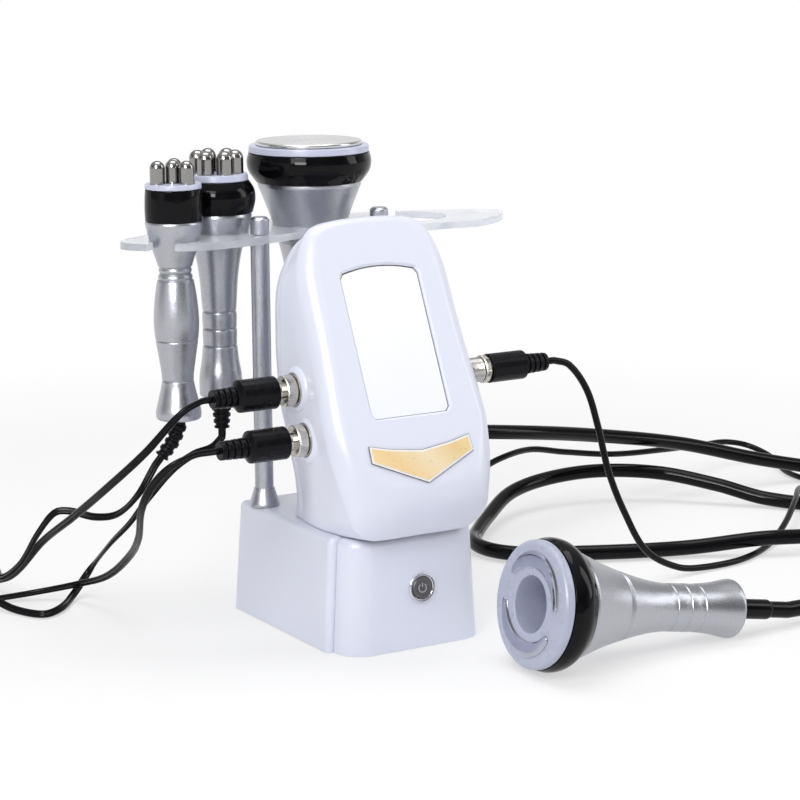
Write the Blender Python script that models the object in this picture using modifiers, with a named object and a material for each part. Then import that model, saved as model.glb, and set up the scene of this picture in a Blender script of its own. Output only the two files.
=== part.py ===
"""Facial care machine with a leaning screen head, a clear tray and four corded handpieces.

Metres, +Z up. The origin is the middle of the base's underside, and the screen faces -Y.
"""
import math

import bmesh
import bpy
import numpy as np
from mathutils import Matrix, Vector

# Clearances shared by all pieces
GAP = 0.0003
OVERRUN = 0.002
MERGE = 0.00001
AXIS_SIZE = 0.005

# Base housing
BASE_HALF_WIDTH = 0.0550
BASE_BACK = 0.0722
BASE_FRONT = -0.0524
BASE_HEIGHT = 0.0731
BASE_DRAFT = 0.0038
BASE_WALL = 0.0025
BASE_EDGE_RADIUS = 0.0040
PLATE_THICKNESS = 0.0030
PLATE_CLEARANCE = 0.0006
PLATE_EDGE = 0.0010

# Front cover of the base
COVER_SIDE_STEP = 0.0049
COVER_TOP_STEP = 0.0005
COVER_DEPTH = 0.0198
COVER_HALF_WIDTH = BASE_HALF_WIDTH - COVER_SIDE_STEP
COVER_FRONT = BASE_FRONT - COVER_DEPTH
COVER_HEIGHT = BASE_HEIGHT - COVER_TOP_STEP
COVER_CORNER_RADIUS = 0.0180
COVER_EDGE_RADIUS = 0.0055
COVER_SEAM = 0.0005
COVER_WALL = 0.0025

# Power button in the front cover
BUTTON_X = 0.0030
BUTTON_Z = 0.0380
BEZEL_RADIUS = 0.0095
BEZEL_LIP = 0.0016
BEZEL_TUBE_RADIUS = 0.0080
BEZEL_TUBE_LENGTH = 0.0085
BEZEL_BORE_RADIUS = 0.0072
CAP_THICKNESS = 0.0045
CAP_PROUD = 0.0004
BUTTON_TRAVEL = 0.0015
CAP_CHAMFER = 0.0005
SWITCH_LENGTH = 0.0060
SWITCH_PLUNGER_RADIUS = 0.0030

# Parts inside the base, and the room that each keeps to the walls and to the middle
SUPPLY_SIDE_ROOM = 0.0065
SUPPLY_MIDDLE_ROOM = 0.0080
SUPPLY_FRONT_ROOM = 0.0099
SUPPLY_BACK_ROOM = 0.0297
SUPPLY_HEIGHT = 0.0280
SUPPLY_EDGE = 0.0015
PUMP_MOTOR_RADIUS = 0.0140
PUMP_MOTOR_LENGTH = 0.0450
PUMP_HEAD_SIZE = (0.0300, 0.0220, 0.0340)
PUMP_SIDE_ROOM = 0.0125
PUMP_Y = 0.0050

# Rear fittings
INLET_SIZE = (0.0280, 0.0180, 0.0200)
INLET_FLANGE = 0.0018
INLET_X = -0.0250
INLET_Z = 0.0350
INLET_POCKET = (0.0200, 0.0120, 0.0130)
INLET_PINS = 0.0015
NOZZLE_X = 0.0250
NOZZLE_Z = 0.0500
NOZZLE_FLANGE_RADIUS = 0.0090
NOZZLE_FLANGE = 0.0020
NOZZLE_RADIUS = 0.0050
NOZZLE_LENGTH = 0.0120
NOZZLE_BORE = 0.0025
REAR_SEAT_DEPTH = 0.0012

# Head: the screen face leans back, and its shells meet in a plane above the base's middle
FACE_LEAN = math.radians(24.7)
FACE_Y = -0.0671
FACE_Z = 0.1465
HEAD_BOTTOM = BASE_HEIGHT + GAP
HEAD_WALL = 0.0025
CREASE_HALF_WIDTH = 0.0468
CREASE_TOP = 0.1255
ROUND_HALF_WIDTH = 0.0580
ROUND_TOP = 0.1310
ROUND_DEPTH = 0.0270
PARTING_HALF_WIDTH = 0.0555
PARTING_TOP = 0.2590
CHEEK_BULGE = 0.0060
REAR_DEPTH = 0.0200
REAR_INSET = 0.0220
REAR_LAND = 0.0030
REAR_CENTRE_Z = 0.1650
ROUND_BLEND_SHARE = 0.75
# Outlines of the head's right half, from the top middle down to the bottom middle
CREASE_SHARES = [(0, 1), (0.427, 0.992), (0.705, 0.964), (0.84, 0.90), (0.876, 0.765), (0.904, 0.486),
                 (0.947, 0.247), (1, 0.024), (0.983, -0.072), (0.91, -0.152), (0.80, -0.235),
                 (0.645, -0.292), (0.43, -0.328), (0, -0.348)]
ROUND_SHARES = [(0, 1), (0.38, 0.992), (0.655, 0.966), (0.81, 0.885), (0.914, 0.733), (0.936, 0.466),
                (0.966, 0.237), (1, 0.023), (0.991, -0.092), (0.948, -0.244), (0.879, -0.382),
                (0.793, -0.478), (0.517, -0.535), (0, -0.54)]
ROUND_DEPTH_SHARES = [0.19, 0.20, 0.24, 0.34, 0.42, 0.44, 0.44, 0.45, 0.47, 0.54, 0.66, 0.76, 0.92, 1]
PARTING_SHARES = [(0, 1), (0.378, 0.994), (0.649, 0.971), (0.829, 0.931), (0.976, 0.857), (1, 0.741),
                  (0.986, 0.649), (0.943, 0.56), (0.897, 0.517), (0.838, 0.452), (0.775, 0.386),
                  (0.742, 0.328), (0.69, 0.255), (0, 0.232)]
BULGE_SHARES = [0, 0, 0, 0, 0, 0.08, 0.15, 0.25, 0.33, 0.45, 0.6, 0.8, 1, 0]
# Steps of the rounding and the cheek, and of the domed back: share of its depth, of its inset
ROUND_STEP_SHARES = (0.3, 0.65, 1)
CHEEK_STEP_SHARES = (0.33, 0.67, 1)
REAR_STEP_SHARES = [(0.45, 0.12), (0.8, 0.46), (1, 1)]

# Screen window and the parts behind it
WINDOW_HALF_WIDTH = 0.02765
WINDOW_BOTTOM = 0.0011
WINDOW_TOP = 0.0935
WINDOW_CROWN = 0.0041
WINDOW_CORNER = 0.0025
WINDOW_CROWN_STEPS = 6
WINDOW_RECESS = 0.0014
WINDOW_BEVEL = 0.0016
WINDOW_THICKNESS = 0.0030
MODULE_THICKNESS = 0.0060
MODULE_MARGIN = 0.0030

# Gold badge below the window
BADGE_HALF_WIDTH = 0.0364
BADGE_TOP = -0.0154
BADGE_BOTTOM = -0.0426
BADGE_THICKNESS = 0.0006
BADGE_SHARES = [(-0.989, 0), (-0.569, 0.125), (0, 0.224), (0.569, 0.125), (0.989, 0), (1, 0.397),
                (0, 1), (-1, 0.397)]

# Panel sockets, coupling nuts and plugs. The side is -1 on the left and +1 on the right, and
# distances along each axis are from the widest place of the head's side
SOCKET_FLANGE_RADIUS = 0.01025
SOCKET_FLANGE_FACE = 0.0015
SOCKET_BODY_RADIUS = 0.0060
SOCKET_BODY_LENGTH = 0.0140
STUB_RADIUS = 0.0060
NUT_CLEARANCE = 0.0003
NECK_WALL = 0.0016
SOCKET_BORE_DEPTH = 0.0060
SOCKET_BORE_RADIUS = 0.0040
BOOT_RIBS = 4
BOOT_GROOVE_DEPTH = 0.0012
PLUG_SHOULDER = 0.0022
CONNECTORS = {
    "small": dict(side=-1, y=-0.0220, z=0.1618, seat=-0.0021, stub=0.0085, nut_start=0.0018,
                  nut_end=0.0092, nut_radius=0.0098, neck_end=0.0142, neck_radius=0.0056,
                  body_end=0.0412, body_radius=0.0102, boot_end=0.0570, boot_radius=0.0064,
                  tip_radius=0.0058),
    "medium": dict(side=-1, y=-0.0345, z=0.1325, seat=-0.0033, stub=0.0080, nut_start=0.0018,
                   nut_end=0.0088, nut_radius=0.0100, neck_end=0.0142, neck_radius=0.0056,
                   body_end=0.0410, body_radius=0.0102, boot_end=0.0590, boot_radius=0.0064,
                   tip_radius=0.0058),
    "cavitation": dict(side=1, y=-0.0300, z=0.1623, seat=-0.0021, stub=0.0182, nut_start=0.0146,
                       nut_end=0.0190, nut_radius=0.0090, neck_end=0.0200, neck_radius=0.0075,
                       body_end=0.0485, body_radius=0.0094, boot_end=0.0645, boot_radius=0.0066,
                       tip_radius=0.0058),
}
THREAD_RADIUS = 0.0080
THREAD_END = 0.0142

# Tray posts, their caps and the clear tray, which runs on past its outer holders
POST_SIDE_ROOM = 0.0110
POST_BACK_ROOM = 0.0258
POST_X = BASE_HALF_WIDTH - POST_SIDE_ROOM
POST_Y = BASE_BACK - POST_BACK_ROOM
POST_RADIUS = 0.0060
POST_FOOT_RADIUS = 0.0096
POST_FOOT_NECK = 0.0066
POST_FOOT_HEIGHT = 0.0115
STUD_RADIUS = 0.0030
STUD_LENGTH = 0.0100
CAP_HEIGHT = 0.0110
CAP_EDGE = 0.0015
TRAY_TOP = 0.2494
TRAY_THICKNESS = 0.0045
TRAY_LEFT_ROOM = 0.0322
TRAY_RIGHT_ROOM = 0.0690
TRAY_MIDDLE = 0.0640
TRAY_DEPTH = 0.0480
# Tray outline from the front middle to the back middle: across, then front (-) or back (+)
TRAY_SHARES = [(0, -0.33), (0.216, -0.46), (0.335, -0.58), (0.446, -0.67), (0.61, -0.72),
               (0.74, -0.71), (0.878, -0.5), (0.964, -0.25), (1, 0), (0.935, 0.25), (0.79, 0.46),
               (0.576, 0.75), (0.288, 0.94), (0, 1)]
SLOT_HALF_WIDTH = 0.0085
SLOT_REACH = 0.0600

# Handpieces: where each one's axis stands, and the height of its handle's ends
TRAY_HOLE_CLEARANCE = 0.0003
HANDPIECES = {
    "small": dict(x=-0.1003, y=0.0540, slot_turn=220, radius=0.0185, bottom=0.1355, top=0.2615),
    "medium": dict(x=-0.0585, y=0.0763, slot_turn=90, radius=0.0224, bottom=0.1422, top=0.2614),
    "cavitation": dict(x=0.0110, y=0.0798, slot_turn=90, radius=0.0346, bottom=0.1530, top=0.2767),
    "vacuum": dict(x=0.0800, y=0.0710, slot_turn=90, radius=0.0346, bottom=0.1488, top=0.2725),
}
# Handle profiles from the top down: share of the handle's radius, share of its height
SMALL_HANDLE_SHARES = [(1, 1), (0.854, 0.905), (0.73, 0.845), (0.589, 0.779), (0.56, 0.74),
                       (0.62, 0.704), (0.724, 0.604), (0.773, 0.5), (0.73, 0.407), (0.62, 0.3),
                       (0.546, 0.2), (0.68, 0.1), (0.778, 0.036), (0.762, 0)]
MEDIUM_HANDLE_SHARES = [(1, 1), (0.857, 0.879), (0.688, 0.796), (0.567, 0.663), (0.513, 0.535),
                        (0.464, 0.474), (0.5, 0.43), (0.464, 0.388), (0.5, 0.345), (0.464, 0.301),
                        (0.54, 0.2), (0.616, 0.107), (0.62, 0)]
LARGE_HANDLE_SHARES = [(1, 1), (0.777, 0.841), (0.633, 0.712), (0.494, 0.551), (0.44, 0.44),
                       (0.412, 0.404), (0.44, 0.365), (0.412, 0.327), (0.44, 0.29), (0.416, 0.251),
                       (0.47, 0.131), (0.54, 0.02), (0.53, 0)]
HANDLE_SHARES = {"small": SMALL_HANDLE_SHARES, "medium": MEDIUM_HANDLE_SHARES,
                 "cavitation": LARGE_HANDLE_SHARES, "vacuum": LARGE_HANDLE_SHARES}

# Black bands above the handles: radii from the top down, with their height
BANDS = {
    "small": dict(height=0.0201, radii=[0.0176, 0.0180, 0.0182, 0.0180]),
    "medium": dict(height=0.0206, radii=[0.0205, 0.0240, 0.0246, 0.0228]),
    "cavitation": dict(height=0.0193, radii=[0.0395, 0.0408, 0.0398, 0.0350]),
    "vacuum": dict(height=0.0193, radii=[0.0395, 0.0408, 0.0398, 0.0350]),
}
BAND_STEP_SHARES = [0, 0.28, 0.62, 1]
# Pale rings on the bands
RINGS = {
    "small": dict(height=0.0033, low=0.0179, high=0.0175),
    "medium": dict(height=0.0044, low=0.0205, high=0.0195),
    "cavitation": dict(height=0.0045, low=0.0395, high=0.0390),
}
# Dome electrodes: count, circle radius and first angle in degrees, radius and height
SMALL_DOMES = dict(count=3, circle=0.0105, first=59, radius=0.0048, height=0.0145, middle=True)
MEDIUM_DOMES = dict(count=6, circle=0.0120, first=29, radius=0.0053, height=0.0150, middle=False)
DOME_ARC_STEPS = 2
CARRIER_THICKNESS = 0.0010
CARRIER_MARGIN = 0.0006
DISC_RADIUS = 0.0348
DISC_THICKNESS = 0.0025
DISC_EDGE = 0.0008

# Strain reliefs under the upright handpieces
RELIEF_RIBS = 5
RELIEF_GROOVE = 0.0011
SMALL_RELIEF = dict(radius=0.0052, tip=0.0040, drop=0.0240, drift=(-0.0109, 0.0040), straight=0.0040)
MEDIUM_RELIEF = dict(radius=0.0072, tip=0.0044, drop=0.0210, drift=(0.0, 0.0), straight=0.0078)
CAVITATION_RELIEF = dict(radius=0.0072, tip=0.0046, drop=0.0250, drift=(0.0, 0.0), straight=0.0078)

# Vacuum handpiece lying on the table
VACUUM_FACE_X = 0.0293
VACUUM_FACE_Y = -0.1523
VACUUM_YAW = math.radians(-1.8)
CUP_RIM_RADIUS = 0.0392
CUP_RIM_HEIGHT = 0.0070
CUP_BORE_RADIUS = 0.0174
CUP_WALL = 0.0020
CUP_DEPTH = 0.0340
CUP_RIM_EDGE = 0.0020
CRESCENT_RADIUS = 0.0273
CRESCENT_WIDTH = 0.0104
CRESCENT_THICKNESS = 0.0008
CRESCENT_END_SHARE = 0.5
CRESCENT_HALF_ANGLE = math.radians(72)
CRESCENT_TURN = math.radians(-14)
CRESCENT_STEPS = 9
SLEEVE_RADIUS = 0.0064
SLEEVE_LENGTH = 0.0300
SLEEVE_RIM = 0.0015

# Cords: the radius of each
LIMP_RADIUS = 0.0020
ROUND_CORD_RADIUS = 0.0023
HOSE_RADIUS = 0.0053
ROUTE_SAMPLES = 60
# Straight run of a cord out of an end face, in its own diameters
LEAD_STEP_SHARES = (0, 1, 1.5)
SMALL_CORD_STEP = 0.0120
ROUND_CORD_STEP = 0.0170
HOSE_STEP = 0.0290

# Small and medium cord coils, each tied once
COIL_RADIUS = 0.0220
COIL_TURNS = 3.75
COIL_PITCH = 0.0047
COIL_POINTS = 24
COIL_LIFT = 0.0018
SMALL_COIL = dict(x=-0.2000, y=0.2480, first=0, turn=1)
MEDIUM_COIL = dict(x=-0.2220, y=0.1900, first=-90, turn=-1)
TIE_WIDTH = 0.0050
TIE_THICKNESS = 0.0009
TIE_CLEARANCE = 0.0004
TIE_ANGLES = {"small": 135, "medium": 180}

# Free routes between the coils, plugs and handpieces, chosen by hand
SMALL_PLUG_ROUTE = [(-0.1350, -0.0210, 0.1555), (-0.1520, -0.0060, 0.1310), (-0.1620, 0.0300, 0.1030),
                    (-0.1640, 0.0800, 0.0740), (-0.1620, 0.1350, 0.0460), (-0.1660, 0.1830, 0.0120),
                    (-0.1730, 0.2150, 0.0030)]
SMALL_HANDLE_ROUTE = [(-0.1860, 0.2200, 0.0200), (-0.1760, 0.2060, 0.0210), (-0.1770, 0.1830, 0.0210),
                      (-0.1830, 0.1560, 0.0200), (-0.1780, 0.1360, 0.0330), (-0.1700, 0.1220, 0.0560),
                      (-0.1620, 0.1130, 0.0700), (-0.1540, 0.1080, 0.0710), (-0.1420, 0.0960, 0.0680),
                      (-0.1330, 0.0800, 0.0720), (-0.1260, 0.0620, 0.0880)]
MEDIUM_PLUG_ROUTE = [(-0.1330, -0.0340, 0.1320), (-0.1480, -0.0310, 0.1260), (-0.1550, -0.0200, 0.1130),
                     (-0.1550, -0.0040, 0.0960), (-0.1420, 0.0300, 0.0680), (-0.1310, 0.0700, 0.0450),
                     (-0.1290, 0.1100, 0.0230), (-0.1370, 0.1430, 0.0110), (-0.1570, 0.1600, 0.0050),
                     (-0.1810, 0.1660, 0.0030), (-0.2030, 0.1680, 0.0030)]
MEDIUM_HANDLE_ROUTE = [(-0.2000, 0.1700, 0.0160), (-0.1890, 0.1510, 0.0060), (-0.1820, 0.1330, 0.0028),
                       (-0.1710, 0.1150, 0.0028), (-0.1560, 0.1220, 0.0032), (-0.1370, 0.1440, 0.0048),
                       (-0.1220, 0.1500, 0.0180), (-0.1220, 0.1150, 0.0440), (-0.1180, 0.0940, 0.0610),
                       (-0.1100, 0.0820, 0.0790), (-0.0945, 0.0770, 0.0970), (-0.0790, 0.0764, 0.1055),
                       (-0.0660, 0.0763, 0.1085)]
CAVITATION_ROUTE = [(0.1420, -0.0300, 0.1580), (0.1560, -0.0300, 0.1400), (0.1650, -0.0300, 0.1150),
                    (0.1740, -0.0300, 0.0830), (0.1880, -0.0290, 0.0530), (0.2080, -0.0270, 0.0230),
                    (0.2360, -0.0250, 0.0070), (0.2600, -0.0240, 0.0032), (0.2960, -0.0200, 0.0028),
                    (0.3380, 0.0020, 0.0030), (0.3700, 0.0240, 0.0090), (0.4050, 0.0550, 0.0150),
                    (0.4350, 0.0850, 0.0150), (0.4640, 0.0980, 0.0070), (0.4850, 0.1080, 0.0032),
                    (0.4940, 0.1300, 0.0028), (0.4920, 0.1550, 0.0028), (0.4970, 0.1800, 0.0032),
                    (0.5030, 0.2050, 0.0090), (0.4960, 0.2260, 0.0150), (0.4780, 0.2310, 0.0190),
                    (0.4480, 0.2220, 0.0220), (0.3900, 0.1990, 0.0290), (0.3300, 0.1820, 0.0360),
                    (0.2750, 0.1680, 0.0470), (0.2360, 0.1550, 0.0560), (0.1970, 0.1350, 0.0580),
                    (0.1500, 0.1180, 0.0510), (0.0950, 0.1080, 0.0480), (0.0450, 0.0960, 0.0620),
                    (0.0160, 0.0820, 0.0960)]
HOSE_ROUTE = [(0.0320, 0.1200, 0.0575), (0.0520, 0.1400, 0.0660), (0.0850, 0.1480, 0.0745),
              (0.1180, 0.1430, 0.0795), (0.1500, 0.1350, 0.0820),
              (0.2180, 0.1380, 0.0740), (0.3020, 0.1580, 0.0580), (0.3860, 0.1680, 0.0400),
              (0.4550, 0.1600, 0.0210), (0.5150, 0.1430, 0.0085), (0.5570, 0.1000, 0.0061),
              (0.5490, 0.0430, 0.0061), (0.5050, 0.0000, 0.0061), (0.4350, -0.0240, 0.0070),
              (0.3530, -0.0230, 0.0122), (0.3200, -0.0110, 0.0124), (0.2800, 0.0120, 0.0070),
              (0.2450, 0.0260, 0.0061), (0.2090, 0.0420, 0.0061), (0.1757, 0.0595, 0.0061),
              (0.1637, 0.0695, 0.0061), (0.1565, 0.0833, 0.0061), (0.1551, 0.0989, 0.0061),
              (0.1598, 0.1138, 0.0061), (0.1675, 0.1245, 0.0064), (0.1980, 0.1540, 0.0105),
              (0.2370, 0.1820, 0.0180), (0.2760, 0.1910, 0.0220), (0.3180, 0.1840, 0.0240),
              (0.3580, 0.1600, 0.0220), (0.3890, 0.1280, 0.0150), (0.4140, 0.1000, 0.0067),
              (0.4400, 0.0620, 0.0067), (0.4720, 0.0200, 0.0182), (0.4860, -0.0250, 0.0182),
              (0.4780, -0.0700, 0.0068), (0.4500, -0.1120, 0.0061), (0.4000, -0.1380, 0.0061),
              (0.3200, -0.1530, 0.0066), (0.2600, -0.1570, 0.0100)]

# Rounding of the turned pieces and of the segments round them
ROUND_STEPS = 16
WIDE_STEPS = 22
FINE_STEPS = 12
HEAD_OUTLINE_STEPS = 20
TRAY_OUTLINE_STEPS = 20

# Looks: base colour, roughness, metallic
LOOKS = {
    "white_gloss": ((0.83, 0.84, 0.90), 0.25, 0.0),
    "pale_ring": ((0.80, 0.80, 0.92), 0.30, 0.0),
    "silver": ((0.60, 0.61, 0.63), 0.38, 0.8),
    "chrome": ((0.75, 0.75, 0.77), 0.12, 1.0),
    "gloss_black": ((0.012, 0.012, 0.016), 0.10, 0.0),
    "matte_black": ((0.020, 0.020, 0.028), 0.50, 0.0),
    "clear": ((0.90, 0.95, 0.96), 0.05, 0.0),
    "screen": ((0.80, 0.88, 0.95), 0.12, 0.0),
    "gold": ((0.85, 0.62, 0.22), 0.30, 0.7),
    "board": ((0.03, 0.20, 0.08), 0.55, 0.0),
    "grey_metal": ((0.45, 0.46, 0.48), 0.35, 0.9),
}


def clear_scene():
    for thing in list(bpy.data.objects):
        bpy.data.objects.remove(thing, do_unlink=True)


def new_collection(name):
    group = bpy.data.collections.new(name)
    bpy.context.scene.collection.children.link(group)
    return group


def add_material(thing, look):
    colour, roughness, metallic = LOOKS[look]
    material = bpy.data.materials.new(thing.name + "_material")
    material.use_nodes = True
    shader = material.node_tree.nodes["Principled BSDF"]
    shader.inputs["Base Color"].default_value = (*colour, 1.0)
    shader.inputs["Roughness"].default_value = roughness
    shader.inputs["Metallic"].default_value = metallic
    thing.data.materials.append(material)


def place(thing, parent):
    if parent is not None:
        thing.parent = parent


def add_mesh(name, builder, look, parent=None, smooth=True):
    """An object from a bmesh, with its outward faces and its own material."""
    mesh = bpy.data.meshes.new(name)
    builder.to_mesh(mesh)
    builder.free()
    if smooth:
        mesh.shade_smooth()
        mesh.set_sharp_from_angle(angle=math.radians(35))
    thing = bpy.data.objects.new(name, mesh)
    PARTS.objects.link(thing)
    add_material(thing, look)
    place(thing, parent)
    return thing


def add_frame(name, matrix):
    """An empty that carries pieces on one axis."""
    frame = bpy.data.objects.new(name, None)
    PARTS.objects.link(frame)
    frame.matrix_world = matrix
    frame.empty_display_size = AXIS_SIZE
    return frame


def shape_mesh(builder, size, centre):
    bmesh.ops.create_cube(builder, size=1)
    bmesh.ops.scale(builder, vec=size, verts=builder.verts)
    bmesh.ops.translate(builder, vec=centre, verts=builder.verts)


def add_box(name, size, centre, look, parent=None, edge=0.0):
    builder = bmesh.new()
    shape_mesh(builder, size, centre)
    thing = add_mesh(name, builder, look, parent, smooth=False)
    if edge > 0:
        add_bevel(thing, edge)
    return thing


def add_bevel(thing, width, segments=1):
    bevel = thing.modifiers.new("rounded_edges", "BEVEL")
    bevel.width = width
    bevel.segments = segments
    bevel.limit_method = "ANGLE"
    bevel.angle_limit = math.radians(40)


def add_turned(name, profile, look, parent=None, steps=ROUND_STEPS):
    """A turned piece: the profile (radius, height) runs from the top down its outer side."""
    builder = bmesh.new()
    corners = [builder.verts.new((radius, 0, height)) for radius, height in profile]
    for first, second in zip(corners, corners[1:]):
        builder.edges.new((first, second))
    if profile[0][0] > 0:
        builder.edges.new((corners[-1], corners[0]))
    thing = add_mesh(name, builder, look, parent, smooth=False)
    screw = thing.modifiers.new("turned", "SCREW")
    screw.steps = steps
    screw.render_steps = steps
    screw.use_merge_vertices = True
    screw.merge_threshold = MERGE
    screw.use_smooth_shade = True
    return thing


def add_cut(target, cutter):
    cut = target.modifiers.new("cut_" + cutter.name, "BOOLEAN")
    cut.object = cutter
    cut.operation = "DIFFERENCE"


def hide_cutter(thing):
    PARTS.objects.unlink(thing)
    CUTTERS.objects.link(thing)
    thing.hide_render = True
    thing.display_type = "WIRE"
    return thing


def round_cutter(name, radius, start, end, parent=None, steps=ROUND_STEPS):
    """A round cutter along its own Z, from start to end."""
    profile = [(0, end), (radius, end), (radius, start), (0, start)]
    return hide_cutter(add_turned(name, profile, "matte_black", parent, steps))


def box_cutter(name, size, centre, parent=None):
    return hide_cutter(add_box(name, size, centre, "matte_black", parent))


def loop_pairs(count):
    return [(index, (index + 1) % count) for index in range(count)]


def add_rings(builder, rings, closed=True):
    """Skins neighbouring rings of places, and gives back their vertices."""
    rows = [[builder.verts.new(place_on_ring) for place_on_ring in ring] for ring in rings]
    for low, high in zip(rows, rows[1:]):
        pairs = loop_pairs(len(low)) if closed else loop_pairs(len(low))[:-1]
        for one, two in pairs:
            builder.faces.new((low[one], low[two], high[two], high[one]))
    return rows


def ring_solid(name, rings, look, parent=None):
    """A closed solid through rings of places that have as many points each."""
    builder = bmesh.new()
    rows = add_rings(builder, rings)
    builder.faces.new(list(reversed(rows[0])))
    builder.faces.new(rows[-1])
    bmesh.ops.recalc_face_normals(builder, faces=builder.faces)
    return add_mesh(name, builder, look, parent, smooth=False)


def smooth_points(points, samples):
    """A smooth curve through the points, as evenly spaced samples along its length."""
    knots = np.array(points, float)
    ends = np.vstack([2 * knots[0] - knots[1], knots, 2 * knots[-1] - knots[-2]])
    fine = []
    for before, start, stop, after in zip(ends, ends[1:], ends[2:], ends[3:]):
        pull = np.linalg.norm(stop - start)
        start_slope = pull * (stop - before) / (pull + np.linalg.norm(start - before))
        stop_slope = pull * (after - start) / (pull + np.linalg.norm(after - stop))
        for step in np.linspace(0, 1, ROUTE_SAMPLES, endpoint=False):
            square = step * step
            cube = square * step
            fine.append((2 * cube - 3 * square + 1) * start + (cube - 2 * square + step) * start_slope
                        + (3 * square - 2 * cube) * stop + (cube - square) * stop_slope)
    fine.append(knots[-1])
    fine = np.array(fine)
    lengths = np.concatenate([[0], np.cumsum(np.linalg.norm(np.diff(fine, axis=0), axis=1))])
    wanted = np.linspace(0, lengths[-1], samples)
    return np.column_stack([np.interp(wanted, lengths, fine[:, axis]) for axis in range(fine.shape[1])])


def route_length(points):
    return float(np.linalg.norm(np.diff(np.array(points), axis=0), axis=1).sum())


def add_tube(name, points, radius, look, fineness, radii=None, closed=False):
    """A round tube along a polyline, with filled ends."""
    curve = bpy.data.curves.new(name, "CURVE")
    curve.dimensions = "3D"
    curve.bevel_depth = radius
    curve.bevel_resolution = fineness
    curve.use_fill_caps = True
    spline = curve.splines.new("POLY")
    spline.points.add(len(points) - 1)
    for index, point in enumerate(points):
        spline.points[index].co = (*point, 1)
        spline.points[index].radius = 1 if radii is None else radii[index] / radius
    spline.use_cyclic_u = closed
    thing = bpy.data.objects.new(name, curve)
    PARTS.objects.link(thing)
    add_material(thing, look)
    return thing


def mirror_outline(half):
    """A closed outline from its right half, which runs from one middle point to the other."""
    return list(half) + [(-across, along) for across, along in reversed(half[1:-1])]


def flat_piece(name, outline, bottom, top, look, parent=None):
    """A flat piece of the outline's shape between two heights."""
    curve = bpy.data.curves.new(name, "CURVE")
    curve.dimensions = "2D"
    curve.fill_mode = "BOTH"
    curve.extrude = (top - bottom) / 2
    spline = curve.splines.new("POLY")
    spline.points.add(len(outline) - 1)
    for point, (across, along) in zip(spline.points, outline):
        point.co = (across, along, 0, 1)
    spline.use_cyclic_u = True
    drawn = bpy.data.objects.new(name + "_curve", curve)
    PARTS.objects.link(drawn)
    graph = bpy.context.evaluated_depsgraph_get()
    mesh = bpy.data.meshes.new_from_object(drawn.evaluated_get(graph))
    matrix = drawn.matrix_world.copy()
    bpy.data.objects.remove(drawn, do_unlink=True)
    builder = bmesh.new()
    builder.from_mesh(mesh)
    bpy.data.meshes.remove(mesh)
    bmesh.ops.remove_doubles(builder, verts=builder.verts, dist=MERGE)
    bmesh.ops.translate(builder, vec=(0, 0, (bottom + top) / 2), verts=builder.verts)
    thing = add_mesh(name, builder, look, None, smooth=False)
    thing.matrix_world = matrix
    place(thing, parent)
    return thing


def standing_box(half_width, front, back, height):
    """A box that runs a little way below the table, to be cut off level with it."""
    builder = bmesh.new()
    shape_mesh(builder, (2 * half_width, back - front, height + OVERRUN),
               (0, (front + back) / 2, (height - OVERRUN) / 2))
    return builder


def cut_at_table(thing):
    add_cut(thing, box_cutter(thing.name + "_table", (3 * BASE_HALF_WIDTH, 3 * BASE_BACK, 2 * OVERRUN),
                              (0, 0, -OVERRUN)))


def delete_faces(builder, test):
    faces = [face for face in builder.faces if test(face)]
    bmesh.ops.delete(builder, geom=faces, context="FACES")


def add_shell(thing, wall):
    shell = thing.modifiers.new("wall", "SOLIDIFY")
    shell.thickness = wall
    shell.offset = -1
    shell.use_even_offset = True


def make_base():
    """The base housing and the plate that closes it from below."""
    builder = standing_box(BASE_HALF_WIDTH, BASE_FRONT, BASE_BACK, BASE_HEIGHT)
    for corner in builder.verts:
        lean = BASE_DRAFT * corner.co.z / BASE_HEIGHT
        corner.co.x -= math.copysign(lean, corner.co.x)
        if corner.co.y > 0:
            corner.co.y -= lean
    delete_faces(builder, lambda face: face.normal.z < -0.9)
    housing = add_mesh("base_housing", builder, "white_gloss")
    add_bevel(housing, BASE_EDGE_RADIUS, 3)
    add_shell(housing, BASE_WALL)
    cut_at_table(housing)
    half = BASE_HALF_WIDTH - BASE_WALL - PLATE_CLEARANCE
    front = BASE_FRONT + BASE_WALL + PLATE_CLEARANCE
    back = BASE_BACK - BASE_WALL - PLATE_CLEARANCE
    plate = add_box("base_bottom_plate", (2 * half, back - front, PLATE_THICKNESS),
                    (0, (front + back) / 2, PLATE_THICKNESS / 2), "white_gloss")
    add_bevel(plate, PLATE_EDGE)
    return housing


def make_front_cover():
    """The rounded cover in front of the base, open at its back and bottom."""
    back = BASE_FRONT - COVER_SEAM
    builder = standing_box(COVER_HALF_WIDTH, COVER_FRONT, back, COVER_HEIGHT)
    uprights = [edge for edge in builder.edges
                if all(end.co.y < back - OVERRUN for end in edge.verts)
                and abs(edge.verts[0].co.z - edge.verts[1].co.z) > COVER_HEIGHT / 2]
    bmesh.ops.bevel(builder, geom=uprights, offset=COVER_CORNER_RADIUS, segments=6, profile=0.5,
                    affect="EDGES")
    for corner in builder.verts:
        lean = BASE_DRAFT * corner.co.z / COVER_HEIGHT
        corner.co.x -= lean * corner.co.x / COVER_HALF_WIDTH
        if corner.co.y < back - MERGE:
            corner.co.y += lean * (back - corner.co.y) / (back - COVER_FRONT)
    delete_faces(builder, lambda face: abs(face.normal.z + 1) < 0.01 or face.normal.y > 0.9)
    cover = add_mesh("base_front_cover", builder, "white_gloss")
    add_bevel(cover, COVER_EDGE_RADIUS, 3)
    cover.modifiers["rounded_edges"].angle_limit = math.radians(60)
    add_shell(cover, COVER_WALL)
    cut_at_table(cover)
    return cover


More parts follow.
